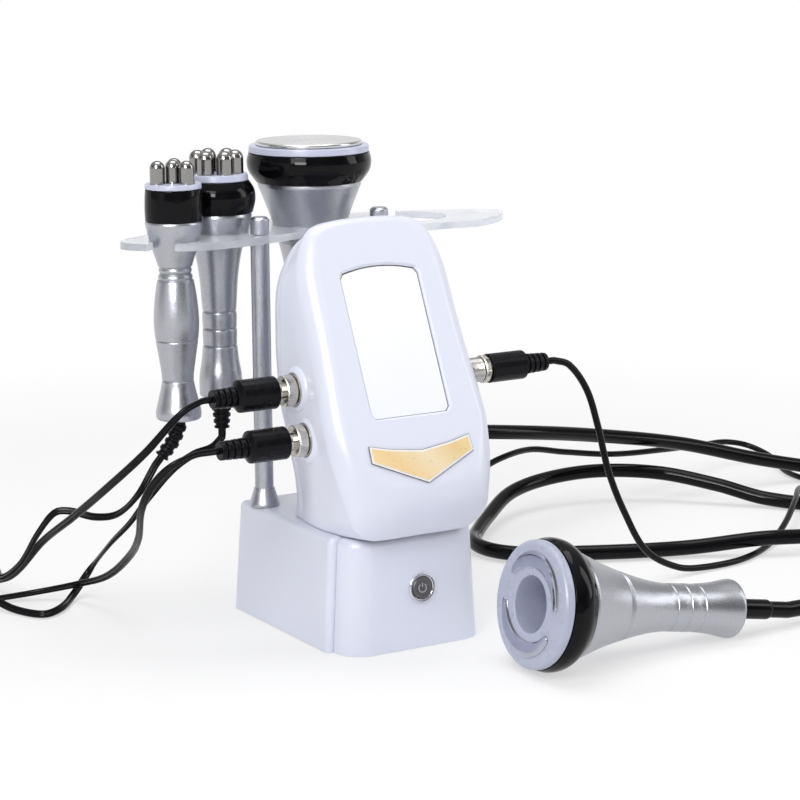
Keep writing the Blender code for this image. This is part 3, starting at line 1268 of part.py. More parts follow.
def make_coil(name, plan):
    """One unbroken wound tube; gives back its two ends with the ways that lead out of them."""
    points, ways = coil_points(plan)
    add_tube(name + "_cord_coil", points, LIMP_RADIUS, "matte_black", 1)
    print("%s coil: %.3f m, least self gap %.5f m" % (name, route_length(points),
                                                     least_self_gap(points, LIMP_RADIUS)))
    return (points[0], -ways[0]), (points[-1], ways[1])


def make_ties():
    """A strap round each coil's turns."""
    for name, plan in (("small", SMALL_COIL), ("medium", MEDIUM_COIL)):
        angle = math.radians(TIE_ANGLES[name])
        turns = (plan["turn"] * (angle - math.radians(plan["first"])) / (2 * math.pi)) % 1
        top_turn = turns + int(COIL_TURNS - turns)
        reach = LIMP_RADIUS + TIE_CLEARANCE
        low = COIL_LIFT + LIMP_RADIUS + COIL_PITCH * turns - reach
        high = COIL_LIFT + LIMP_RADIUS + COIL_PITCH * top_turn + reach
        inner = [(-reach, low), (reach, low), (reach, high), (-reach, high)]
        grown = reach + TIE_THICKNESS
        outer = [(-grown, low - TIE_THICKNESS), (grown, low - TIE_THICKNESS),
                 (grown, high + TIE_THICKNESS), (-grown, high + TIE_THICKNESS)]
        matrix = (Matrix.Translation((plan["x"], plan["y"], 0)) @ Matrix.Rotation(angle, 4, "Z")
                  @ Matrix.Translation((COIL_RADIUS, 0, 0)))
        builder = bmesh.new()
        loops = []
        for outline in (outer, inner):
            for side in (-TIE_WIDTH / 2, TIE_WIDTH / 2):
                loops.append([builder.verts.new(matrix @ Vector((x, side, z))) for x, z in outline])
        for low_loop, high_loop in ((loops[0], loops[1]), (loops[2], loops[3]),
                                    (loops[0], loops[2]), (loops[1], loops[3])):
            for one, two in loop_pairs(len(low_loop)):
                builder.faces.new((low_loop[one], low_loop[two], high_loop[two], high_loop[one]))
        bmesh.ops.recalc_face_normals(builder, faces=builder.faces)
        add_mesh(name + "_coil_tie", builder, "matte_black", smooth=False)


def plug_end(name):
    plan = CONNECTORS[name]
    reach = ROUND_HALF_WIDTH + plan["boot_end"]
    return (plan["side"] * reach, plan["y"], plan["z"]), (plan["side"], 0, 0)


def make_cords(ends):
    """All four cords, from the machine to their handpieces."""
    small_in, small_out = make_coil("small", SMALL_COIL)
    medium_in, medium_out = make_coil("medium", MEDIUM_COIL)
    make_ties()
    free_cord("small_cord_plug_side", plug_end("small"), SMALL_PLUG_ROUTE, small_in, LIMP_RADIUS,
              SMALL_CORD_STEP, "matte_black", 2)
    free_cord("small_cord_handle_side", small_out, SMALL_HANDLE_ROUTE, ends["small"], LIMP_RADIUS,
              SMALL_CORD_STEP, "matte_black", 2)
    free_cord("medium_cord_plug_side", plug_end("medium"), MEDIUM_PLUG_ROUTE, medium_in, LIMP_RADIUS,
              SMALL_CORD_STEP, "matte_black", 2)
    free_cord("medium_cord_handle_side", medium_out, MEDIUM_HANDLE_ROUTE, ends["medium"], LIMP_RADIUS,
              SMALL_CORD_STEP, "matte_black", 2)
    free_cord("cavitation_cord", plug_end("cavitation"), CAVITATION_ROUTE, ends["cavitation"],
              ROUND_CORD_RADIUS, ROUND_CORD_STEP, "gloss_black", 2)
    nozzle = (NOZZLE_X, rear_seat(NOZZLE_Z) + GAP + NOZZLE_FLANGE + NOZZLE_LENGTH, NOZZLE_Z)
    free_cord("vacuum_hose", (nozzle, (0, 1, 0)), HOSE_ROUTE, ends["vacuum"], HOSE_RADIUS, HOSE_STEP,
              "gloss_black", 2)


def main():
    housing = make_base()
    cover = make_front_cover()
    make_button(cover)
    make_inside_base()
    make_inlet(housing)
    make_nozzle(housing)
    front = make_head()
    make_screen(front)
    make_badge()
    make_connectors(front)
    make_posts()
    make_tray()
    ends = {
        "small": make_upright("small", SMALL_DOMES, SMALL_RELIEF),
        "medium": make_upright("medium", MEDIUM_DOMES, MEDIUM_RELIEF),
        "cavitation": make_upright("cavitation", None, CAVITATION_RELIEF),
        "vacuum": make_vacuum_handpiece(),
    }
    make_cords(ends)


clear_scene()
PARTS = new_collection("facial_massager")
CUTTERS = new_collection("cutters")
main()
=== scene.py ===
"""Dressed scene of the facial care machine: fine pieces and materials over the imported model.

Metres, +Z up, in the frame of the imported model. The shapes repeat those of the part's source with finer
steps and rounded edges, and add the small details that the photograph shows.
"""
import math

import bmesh
import bpy
import numpy as np
from mathutils import Matrix, Vector


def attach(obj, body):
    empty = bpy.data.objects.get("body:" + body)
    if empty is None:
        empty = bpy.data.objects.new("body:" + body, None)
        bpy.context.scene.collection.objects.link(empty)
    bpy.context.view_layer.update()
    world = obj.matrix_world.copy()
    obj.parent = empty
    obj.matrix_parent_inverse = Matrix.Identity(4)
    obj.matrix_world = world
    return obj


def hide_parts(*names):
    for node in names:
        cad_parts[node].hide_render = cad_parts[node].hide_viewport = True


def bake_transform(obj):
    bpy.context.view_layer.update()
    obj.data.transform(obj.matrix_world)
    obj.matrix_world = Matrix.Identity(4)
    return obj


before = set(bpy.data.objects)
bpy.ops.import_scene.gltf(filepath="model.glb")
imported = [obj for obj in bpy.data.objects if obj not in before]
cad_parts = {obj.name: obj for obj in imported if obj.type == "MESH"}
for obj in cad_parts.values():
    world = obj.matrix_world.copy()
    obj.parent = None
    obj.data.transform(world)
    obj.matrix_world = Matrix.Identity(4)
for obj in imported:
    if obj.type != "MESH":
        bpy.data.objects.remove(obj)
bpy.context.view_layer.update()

# Clearances shared by all pieces, and the length below which two places are one
GAP = 0.0003
OVERRUN = 0.002
MERGE = 0.00001

# Base housing
BASE_HALF_WIDTH = 0.0550
BASE_BACK = 0.0722
BASE_FRONT = -0.0524
BASE_HEIGHT = 0.0731
BASE_DRAFT = 0.0038
BASE_WALL = 0.0025
BASE_EDGE_RADIUS = 0.0040

# Front cover of the base
COVER_SIDE_STEP = 0.0049
COVER_TOP_STEP = 0.0005
COVER_DEPTH = 0.0198
COVER_HALF_WIDTH = BASE_HALF_WIDTH - COVER_SIDE_STEP
COVER_FRONT = BASE_FRONT - COVER_DEPTH
COVER_HEIGHT = BASE_HEIGHT - COVER_TOP_STEP
COVER_CORNER_RADIUS = 0.0180
COVER_EDGE_RADIUS = 0.0055
COVER_SEAM = 0.0005
COVER_WALL = 0.0025

# Power button in the front cover
BUTTON_X = 0.0030
BUTTON_Z = 0.0380
BEZEL_RADIUS = 0.0095
BEZEL_LIP = 0.0016
BEZEL_TUBE_RADIUS = 0.0080
BEZEL_TUBE_LENGTH = 0.0085
BEZEL_BORE_RADIUS = 0.0072
CAP_THICKNESS = 0.0045
CAP_PROUD = 0.0004
CAP_CHAMFER = 0.0005

# Rear fittings
INLET_SIZE = (0.0280, 0.0180, 0.0200)
INLET_FLANGE = 0.0018
INLET_X = -0.0250
INLET_Z = 0.0350
INLET_POCKET = (0.0200, 0.0120, 0.0130)
NOZZLE_X = 0.0250
NOZZLE_Z = 0.0500
NOZZLE_FLANGE_RADIUS = 0.0090
NOZZLE_FLANGE = 0.0020
NOZZLE_RADIUS = 0.0050
NOZZLE_LENGTH = 0.0120
NOZZLE_BORE = 0.0025
REAR_SEAT_DEPTH = 0.0012

# Head: the screen face leans back, and its shells meet in a plane above the base's middle
FACE_LEAN = math.radians(24.7)
FACE_Y = -0.0671
FACE_Z = 0.1465
HEAD_BOTTOM = BASE_HEIGHT + GAP
HEAD_WALL = 0.0025
CREASE_HALF_WIDTH = 0.0468
CREASE_TOP = 0.1255
ROUND_HALF_WIDTH = 0.0580
ROUND_TOP = 0.1310
ROUND_DEPTH = 0.0270
PARTING_HALF_WIDTH = 0.0555
PARTING_TOP = 0.2590
CHEEK_BULGE = 0.0060
REAR_DEPTH = 0.0200
REAR_INSET = 0.0220
REAR_LAND = 0.0030
REAR_CENTRE_Z = 0.1650
ROUND_BLEND_SHARE = 0.75
# Outlines of the head's right half, from the top middle down to the bottom middle
CREASE_SHARES = [(0, 1), (0.427, 0.992), (0.705, 0.964), (0.84, 0.90), (0.876, 0.765), (0.904, 0.486),
                 (0.947, 0.247), (1, 0.024), (0.983, -0.072), (0.91, -0.152), (0.80, -0.235),
                 (0.645, -0.292), (0.43, -0.328), (0, -0.348)]
ROUND_SHARES = [(0, 1), (0.38, 0.992), (0.655, 0.966), (0.81, 0.885), (0.914, 0.733), (0.936, 0.466),
                (0.966, 0.237), (1, 0.023), (0.991, -0.092), (0.948, -0.244), (0.879, -0.382),
                (0.793, -0.478), (0.517, -0.535), (0, -0.54)]
ROUND_DEPTH_SHARES = [0.19, 0.20, 0.24, 0.34, 0.42, 0.44, 0.44, 0.45, 0.47, 0.54, 0.66, 0.76, 0.92, 1]
PARTING_SHARES = [(0, 1), (0.378, 0.994), (0.649, 0.971), (0.829, 0.931), (0.976, 0.857), (1, 0.741),
                  (0.986, 0.649), (0.943, 0.56), (0.897, 0.517), (0.838, 0.452), (0.775, 0.386),
                  (0.742, 0.328), (0.69, 0.255), (0, 0.232)]
BULGE_SHARES = [0, 0, 0, 0, 0, 0.08, 0.15, 0.25, 0.33, 0.45, 0.6, 0.8, 1, 0]
# Steps of the rounding and the cheek, and of the domed back: share of its depth, of its inset
ROUND_STEP_SHARES = [step / 12 for step in range(1, 13)]
CHEEK_STEP_SHARES = [step / 10 for step in range(1, 11)]
REAR_STEP_SHARES = [(0.45, 0.12), (0.8, 0.46), (1, 1)]

# Screen window
WINDOW_HALF_WIDTH = 0.02765
WINDOW_BOTTOM = 0.0011
WINDOW_TOP = 0.0935
WINDOW_CROWN = 0.0041
WINDOW_CORNER = 0.0025
WINDOW_CROWN_STEPS = 24
WINDOW_RECESS = 0.0014
WINDOW_BEVEL = 0.0016
WINDOW_THICKNESS = 0.0030

# Gold badge below the window
BADGE_HALF_WIDTH = 0.0364
BADGE_TOP = -0.0154
BADGE_BOTTOM = -0.0426
BADGE_THICKNESS = 0.0006
BADGE_SHARES = [(-0.989, 0), (-0.569, 0.125), (0, 0.224), (0.569, 0.125), (0.989, 0), (1, 0.397),
                (0, 1), (-1, 0.397)]

# Panel sockets, coupling nuts and plugs. The side is -1 on the left and +1 on the right, and
# distances along each axis are from the widest place of the head's side
SOCKET_FLANGE_RADIUS = 0.01025
SOCKET_FLANGE_FACE = 0.0015
SOCKET_BODY_RADIUS = 0.0060
SOCKET_BODY_LENGTH = 0.0140
STUB_RADIUS = 0.0060
NUT_CLEARANCE = 0.0003
NECK_WALL = 0.0016
SOCKET_BORE_DEPTH = 0.0060
SOCKET_BORE_RADIUS = 0.0040
BOOT_RIBS = 4
BOOT_GROOVE_DEPTH = 0.0012
PLUG_SHOULDER = 0.0022
CONNECTORS = {
    "small": dict(side=-1, y=-0.0220, z=0.1618, seat=-0.0021, stub=0.0085, nut_start=0.0018,
                  nut_end=0.0092, nut_radius=0.0098, neck_end=0.0142, neck_radius=0.0056,
                  body_end=0.0412, body_radius=0.0102, boot_end=0.0570, boot_radius=0.0064,
                  tip_radius=0.0058),
    "medium": dict(side=-1, y=-0.0345, z=0.1325, seat=-0.0033, stub=0.0080, nut_start=0.0018,
                   nut_end=0.0088, nut_radius=0.0100, neck_end=0.0142, neck_radius=0.0056,
                   body_end=0.0410, body_radius=0.0102, boot_end=0.0590, boot_radius=0.0064,
                   tip_radius=0.0058),
    "cavitation": dict(side=1, y=-0.0300, z=0.1623, seat=-0.0021, stub=0.0182, nut_start=0.0146,
                       nut_end=0.0190, nut_radius=0.0090, neck_end=0.0200, neck_radius=0.0075,
                       body_end=0.0485, body_radius=0.0094, boot_end=0.0645, boot_radius=0.0066,
                       tip_radius=0.0058),
}
THREAD_RADIUS = 0.0080
THREAD_END = 0.0142

# Tray posts, their caps and the clear tray, which runs on past its outer holders
POST_SIDE_ROOM = 0.0110
POST_BACK_ROOM = 0.0258
POST_X = BASE_HALF_WIDTH - POST_SIDE_ROOM
POST_Y = BASE_BACK - POST_BACK_ROOM
POST_RADIUS = 0.0060
POST_FOOT_RADIUS = 0.0096
POST_FOOT_NECK = 0.0066
POST_FOOT_HEIGHT = 0.0115
STUD_RADIUS = 0.0030
STUD_LENGTH = 0.0100
CAP_HEIGHT = 0.0110
CAP_EDGE = 0.0015
TRAY_TOP = 0.2494
TRAY_THICKNESS = 0.0045
TRAY_LEFT_ROOM = 0.0322
TRAY_RIGHT_ROOM = 0.0690
TRAY_MIDDLE = 0.0640
TRAY_DEPTH = 0.0480
# Tray outline from the front middle to the back middle: across, then front (-) or back (+)
TRAY_SHARES = [(0, -0.33), (0.216, -0.46), (0.335, -0.58), (0.446, -0.67), (0.61, -0.72),
               (0.74, -0.71), (0.878, -0.5), (0.964, -0.25), (1, 0), (0.935, 0.25), (0.79, 0.46),
               (0.576, 0.75), (0.288, 0.94), (0, 1)]
SLOT_HALF_WIDTH = 0.0085
SLOT_REACH = 0.0600

# Handpieces: where each one's axis stands, and the height of its handle's ends
TRAY_HOLE_CLEARANCE = 0.0003
HANDPIECES = {
    "small": dict(x=-0.1003, y=0.0540, slot_turn=220, radius=0.0185, bottom=0.1355, top=0.2615),
    "medium": dict(x=-0.0585, y=0.0763, slot_turn=90, radius=0.0224, bottom=0.1422, top=0.2614),
    "cavitation": dict(x=0.0110, y=0.0798, slot_turn=90, radius=0.0346, bottom=0.1530, top=0.2767),
    "vacuum": dict(x=0.0800, y=0.0710, slot_turn=90, radius=0.0346, bottom=0.1488, top=0.2725),
}
# Handle profiles from the top down: share of the handle's radius, share of its height
SMALL_HANDLE_SHARES = [(1, 1), (0.854, 0.905), (0.73, 0.845), (0.589, 0.779), (0.56, 0.74),
                       (0.62, 0.704), (0.724, 0.604), (0.773, 0.5), (0.73, 0.407), (0.62, 0.3),
                       (0.546, 0.2), (0.68, 0.1), (0.778, 0.036), (0.762, 0)]
MEDIUM_HANDLE_SHARES = [(1, 1), (0.857, 0.879), (0.688, 0.796), (0.567, 0.663), (0.513, 0.535),
                        (0.464, 0.474), (0.5, 0.43), (0.464, 0.388), (0.5, 0.345), (0.464, 0.301),
                        (0.54, 0.2), (0.616, 0.107), (0.62, 0)]
LARGE_HANDLE_SHARES = [(1, 1), (0.777, 0.841), (0.633, 0.712), (0.494, 0.551), (0.44, 0.44),
                       (0.412, 0.404), (0.44, 0.365), (0.412, 0.327), (0.44, 0.29), (0.416, 0.251),
                       (0.47, 0.131), (0.54, 0.02), (0.53, 0)]
HANDLE_SHARES = {"small": SMALL_HANDLE_SHARES, "medium": MEDIUM_HANDLE_SHARES,
                 "cavitation": LARGE_HANDLE_SHARES, "vacuum": LARGE_HANDLE_SHARES}

# Black bands above the handles: radii from the top down, with their height
BANDS = {
    "small": dict(height=0.0201, radii=[0.0176, 0.0180, 0.0182, 0.0180]),
    "medium": dict(height=0.0206, radii=[0.0205, 0.0240, 0.0246, 0.0228]),
    "cavitation": dict(height=0.0193, radii=[0.0395, 0.0408, 0.0398, 0.0350]),
    "vacuum": dict(height=0.0193, radii=[0.0395, 0.0408, 0.0398, 0.0350]),
}
BAND_STEP_SHARES = [0, 0.28, 0.62, 1]
# Pale rings on the bands
RINGS = {
    "small": dict(height=0.0033, low=0.0179, high=0.0175),
    "medium": dict(height=0.0044, low=0.0205, high=0.0195),
    "cavitation": dict(height=0.0045, low=0.0395, high=0.0390),
}
# Dome electrodes: count, circle radius and first angle in degrees, radius and height
SMALL_DOMES = dict(count=3, circle=0.0105, first=59, radius=0.0048, height=0.0145, middle=True)
MEDIUM_DOMES = dict(count=6, circle=0.0120, first=29, radius=0.0053, height=0.0150, middle=False)
DISC_RADIUS = 0.0348
DISC_THICKNESS = 0.0025
DISC_EDGE = 0.0008

# Strain reliefs under the upright handpieces
RELIEF_RIBS = 5
RELIEF_POINTS = 3
RELIEF_LEAN = 1.5
RELIEF_GROOVE = 0.0011
SMALL_RELIEF = dict(radius=0.0052, tip=0.0040, drop=0.0240, drift=(-0.0109, 0.0040), straight=0.0040)
MEDIUM_RELIEF = dict(radius=0.0072, tip=0.0044, drop=0.0210, drift=(0.0, 0.0), straight=0.0078)
CAVITATION_RELIEF = dict(radius=0.0072, tip=0.0046, drop=0.0250, drift=(0.0, 0.0), straight=0.0078)

# Vacuum handpiece lying on the table
VACUUM_FACE_X = 0.0293
VACUUM_FACE_Y = -0.1523
VACUUM_YAW = math.radians(-1.8)
CUP_RIM_RADIUS = 0.0392
CUP_RIM_HEIGHT = 0.0070
CUP_BORE_RADIUS = 0.0174
CUP_WALL = 0.0020
CUP_DEPTH = 0.0340
CUP_RIM_EDGE = 0.0020
CRESCENT_RADIUS = 0.0273
CRESCENT_WIDTH = 0.0104
CRESCENT_THICKNESS = 0.0008
CRESCENT_END_SHARE = 0.5
CRESCENT_HALF_ANGLE = math.radians(72)
CRESCENT_TURN = math.radians(-14)
CRESCENT_STEPS = 33
CRESCENT_CAP_STEPS = (10, 25, 40, 55, 72, 90)
# Places across a strip's domed top, and how full the dome is
CRESCENT_SHARES = (0.0, 0.02, 0.06, 0.12, 0.2, 0.35, 0.5, 0.65, 0.8, 0.88, 0.94, 0.98, 1.0)
CRESCENT_EDGE_SHARE = 0.15
CRESCENT_STEEPNESS = 1.6
CRESCENT_FULLNESS = 0.7
SLEEVE_RADIUS = 0.0064
SLEEVE_LENGTH = 0.0300
SLEEVE_RIM = 0.0015

# Cords: the radius of each
LIMP_RADIUS = 0.0020
ROUND_CORD_RADIUS = 0.0023
HOSE_RADIUS = 0.0053
ROUTE_SAMPLES = 60
# Straight run of a cord out of an end face, in its own diameters
LEAD_STEP_SHARES = (0, 1, 1.5)

# Small and medium cord coils, each tied once
COIL_RADIUS = 0.0220
COIL_TURNS = 3.75
COIL_PITCH = 0.0047
COIL_POINTS = 36
COIL_LIFT = 0.0018
SMALL_COIL = dict(x=-0.2000, y=0.2480, first=0, turn=1)
MEDIUM_COIL = dict(x=-0.2220, y=0.1900, first=-90, turn=-1)
TIE_WIDTH = 0.0050
TIE_THICKNESS = 0.0009
TIE_CLEARANCE = 0.0004
TIE_ANGLES = {"small": 135, "medium": 180}

# Free routes between the coils, plugs and handpieces
SMALL_PLUG_ROUTE = [(-0.1350, -0.0210, 0.1555), (-0.1520, -0.0060, 0.1310), (-0.1620, 0.0300, 0.1030),
                    (-0.1640, 0.0800, 0.0740), (-0.1620, 0.1350, 0.0460), (-0.1660, 0.1830, 0.0120),
                    (-0.1730, 0.2150, 0.0030)]
SMALL_HANDLE_ROUTE = [(-0.1860, 0.2200, 0.0200), (-0.1760, 0.2060, 0.0210), (-0.1770, 0.1830, 0.0210),
                      (-0.1830, 0.1560, 0.0200), (-0.1780, 0.1360, 0.0330), (-0.1700, 0.1220, 0.0560),
                      (-0.1620, 0.1130, 0.0700), (-0.1540, 0.1080, 0.0710), (-0.1420, 0.0960, 0.0680),
                      (-0.1330, 0.0800, 0.0720), (-0.1260, 0.0620, 0.0880)]
MEDIUM_PLUG_ROUTE = [(-0.1330, -0.0340, 0.1320), (-0.1480, -0.0310, 0.1260), (-0.1550, -0.0200, 0.1130),
                     (-0.1550, -0.0040, 0.0960), (-0.1420, 0.0300, 0.0680), (-0.1310, 0.0700, 0.0450),
                     (-0.1290, 0.1100, 0.0230), (-0.1370, 0.1430, 0.0110), (-0.1570, 0.1600, 0.0050),
                     (-0.1810, 0.1660, 0.0030), (-0.2030, 0.1680, 0.0030)]
MEDIUM_HANDLE_ROUTE = [(-0.2000, 0.1700, 0.0160), (-0.1890, 0.1510, 0.0060), (-0.1820, 0.1330, 0.0028),
                       (-0.1710, 0.1150, 0.0028), (-0.1560, 0.1220, 0.0032), (-0.1370, 0.1440, 0.0048),
                       (-0.1220, 0.1500, 0.0180), (-0.1220, 0.1150, 0.0440), (-0.1180, 0.0940, 0.0610),
                       (-0.1100, 0.0820, 0.0790), (-0.0945, 0.0770, 0.0970), (-0.0790, 0.0764, 0.1055),
                       (-0.0660, 0.0763, 0.1085)]
CAVITATION_ROUTE = [(0.1420, -0.0300, 0.1580), (0.1560, -0.0300, 0.1400), (0.1650, -0.0300, 0.1150),
                    (0.1740, -0.0300, 0.0830), (0.1880, -0.0290, 0.0530), (0.2080, -0.0270, 0.0230),
                    (0.2360, -0.0250, 0.0070), (0.2600, -0.0240, 0.0032), (0.2960, -0.0200, 0.0028),
                    (0.3380, 0.0020, 0.0030), (0.3700, 0.0240, 0.0090), (0.4050, 0.0550, 0.0150),
                    (0.4350, 0.0850, 0.0150), (0.4640, 0.0980, 0.0070), (0.4850, 0.1080, 0.0032),
                    (0.4940, 0.1300, 0.0028), (0.4920, 0.1550, 0.0028), (0.4970, 0.1800, 0.0032),
                    (0.5030, 0.2050, 0.0090), (0.4960, 0.2260, 0.0150), (0.4780, 0.2310, 0.0190),
                    (0.4480, 0.2220, 0.0220), (0.3900, 0.1990, 0.0290), (0.3300, 0.1820, 0.0360),
                    (0.2750, 0.1680, 0.0470), (0.2360, 0.1550, 0.0560), (0.1970, 0.1350, 0.0580),
                    (0.1500, 0.1180, 0.0510), (0.0950, 0.1080, 0.0480), (0.0450, 0.0960, 0.0620),
                    (0.0160, 0.0820, 0.0960)]
HOSE_ROUTE = [(0.0320, 0.1200, 0.0575), (0.0520, 0.1400, 0.0660), (0.0850, 0.1480, 0.0745),
              (0.1180, 0.1430, 0.0795), (0.1500, 0.1350, 0.0820),
              (0.2180, 0.1380, 0.0740), (0.3020, 0.1580, 0.0580), (0.3860, 0.1680, 0.0400),
              (0.4550, 0.1600, 0.0210), (0.5150, 0.1430, 0.0085), (0.5570, 0.1000, 0.0061),
              (0.5490, 0.0430, 0.0061), (0.5050, 0.0000, 0.0061), (0.4350, -0.0240, 0.0070),
              (0.3530, -0.0230, 0.0122), (0.3200, -0.0110, 0.0124), (0.2800, 0.0120, 0.0070),
              (0.2450, 0.0260, 0.0061), (0.2090, 0.0420, 0.0061), (0.1757, 0.0595, 0.0061),
              (0.1637, 0.0695, 0.0061), (0.1565, 0.0833, 0.0061), (0.1551, 0.0989, 0.0061),
              (0.1598, 0.1138, 0.0061), (0.1675, 0.1245, 0.0064), (0.1980, 0.1540, 0.0105),
              (0.2370, 0.1820, 0.0180), (0.2760, 0.1910, 0.0220), (0.3180, 0.1840, 0.0240),
              (0.3580, 0.1600, 0.0220), (0.3890, 0.1280, 0.0150), (0.4140, 0.1000, 0.0067),
              (0.4400, 0.0620, 0.0067), (0.4720, 0.0200, 0.0182), (0.4860, -0.0250, 0.0182),
              (0.4780, -0.0700, 0.0068), (0.4500, -0.1120, 0.0061), (0.4000, -0.1380, 0.0061),
              (0.3200, -0.1530, 0.0066), (0.2600, -0.1570, 0.0100)]

# Where each cord starts to follow its handpiece, and from where it follows it fully; nothing here moves a
# cord by them
FOLLOW = {
    "small": ((-0.1780, 0.1470, 0.03), (-0.1150, 0.0620, 0.03)),
    "medium": ((-0.1250, 0.0763, 0.05), (-0.0640, 0.0763, 0.05)),
    "cavitation": ((0.1300, 0.0100, 0.05), (0.0300, 0.1000, 0.05)),
    "vacuum": ((0.4, -0.0500, 0.01), (0.4, -0.1480, 0.01)),
}

# Segments round a turned piece, and places along the outlines of the head and the tray
ROUND_STEPS = 96
HEAD_OUTLINE_STEPS = 64
TRAY_OUTLINE_STEPS = 72

# Rounding that only this scene shows: radii, the share of a side that it may take and its steps
EDGE_ROUND = 0.0004
FINE_ROUND = 0.0002
SLEEVE_ROUND = 0.0006
BAND_ROUND = 0.0008
RING_ROUND = 0.0009
CUP_ROUND = 0.0012
CORNER_CUT_SHARE = 0.45
ARC_STEPS = 4
BEVEL_STEPS = 3
BASE_BEVEL_STEPS = 7
CORNER_BEVEL_STEPS = 18
# Edges with a wider angle than these, in degrees, are bevelled, or stay sharp in the shading
BEVEL_ANGLE = 40
COVER_BEVEL_ANGLE = 60
SHARP = 32
SHARP_TURNED = 50
SHARP_SOFT = 60
SHARP_FACE = 26
SHARP_REAR = 40
SHARP_BADGE = 12
NORMAL_WEIGHT = 70
# How far a face's normal has to point along an axis for the face to look that way
FACING = 0.9

# Places along the fine pieces and round them
HANDLE_SAMPLES = 150
BAND_SAMPLES = 24
DOME_ARC_POINTS = 13
DOME_STEPS = 48
STUD_STEPS = 32
RELIEF_SAMPLES = 20
RELIEF_STEPS = 32
CORD_STEPS = 20
HOSE_STEPS = 28
TIE_STEPS = 40

# Fine details that only this scene shows. Grooves round the handles: height, depth and width
HANDLE_GROOVES = {
    "small": [(0.2322, 0.0008, 0.0010), (0.2286, 0.0008, 0.0010), (0.2250, 0.0008, 0.0010),
              (0.1862, 0.0005, 0.0006), (0.1604, 0.0005, 0.0006)],
    "medium": [(0.1979, 0.0007, 0.0007), (0.1868, 0.0007, 0.0007), (0.1756, 0.0007, 0.0007)],
    "cavitation": [(0.2400, 0.0006, 0.0007), (0.2380, 0.0006, 0.0007)],
    "vacuum": [(0.2388, 0.0006, 0.0007), (0.2368, 0.0006, 0.0007), (0.1989, 0.0005, 0.0005),
               (0.1885, 0.0005, 0.0005), (0.1777, 0.0005, 0.0005)],
}
# Places across a groove, in its widths, and how widely it is spread
GROOVE_STEPS = (-1.5, -1, -0.7, -0.35, 0, 0.35, 0.7, 1, 1.5)
GROOVE_SPREAD = 0.7
# Radius shares of the ridged grips, each with the evened one that takes its place
EVEN_GRIPS = {0.464: 0.492, 0.412: 0.434, 0.44: 0.437, 0.416: 0.433}
REAR_STEPS = 10
CORD_SPACING = 0.0025
TWIN_LOBE = 0.00132
TWIN_OFFSET = 0.00126
TWIN_TURN = math.radians(50)
TWIN_ARC = 2.4
TWIN_POINTS = 13
# How level a cord has to run for its own side to count, and over how many places that is smoothed
LEVEL_SHARE = 0.25
SIDE_SMOOTHING = 9
KNURL_COUNT = 40
KNURL_DEPTH = 0.0004
KNURL_LEAST_SHARE = 0.9
THREAD_PITCH = 0.0009
PLUG_FLUTES = 18
PLUG_FLUTE_DEPTH = 0.00025
WINDOW_GAP_RIGHT = 0.0006
WINDOW_GAP_TOP = 0.0004
# Boss round a left socket: radius, distance from the widest place of the head's side
BOSS_PROFILE = [(0.0106, 0.0010), (0.0116, 0.0009), (0.0136, -0.0004), (0.0152, -0.0030),
                (0.0106, -0.0030)]
# Grooves between a boot's ribs: share of the rib's pitch, share of the groove's depth
BOOT_GROOVE_SHARES = [(0.07, 0), (0.14, 1.3), (0.30, 1.3), (0.37, 0)]
RELIEF_FULLNESS = 0.0006
RELIEF_STEEPNESS = 2.2
RELIEF_LEVEL = 0.9
SYMBOL_RADIUS = 0.0027
SYMBOL_STROKE = 0.0005
SYMBOL_HEIGHT = 0.0001
SYMBOL_ARC = (125, 415)
SYMBOL_POINTS = 30
SYMBOL_BAR = (0.25, 1.2)
SYMBOL_DEPTH_SHARE = 0.8
# Dished top of the button: share of its radius, depth in chamfers
CAP_DISH = [(0, 1), (0.4, 0.9), (0.78, 0.5)]
BARBS = 3
INLAY_MARGIN = 0.0015
BORDER_MARGIN = 0.0003
INLAY_HEIGHT = 0.0005
MITRE_SHARE = 0.35
PIN_SIZE = (0.0018, 0.0110, 0.0042)
PIN_SPOTS = ((-0.3, -0.12), (0.3, -0.12), (0, 0.18))

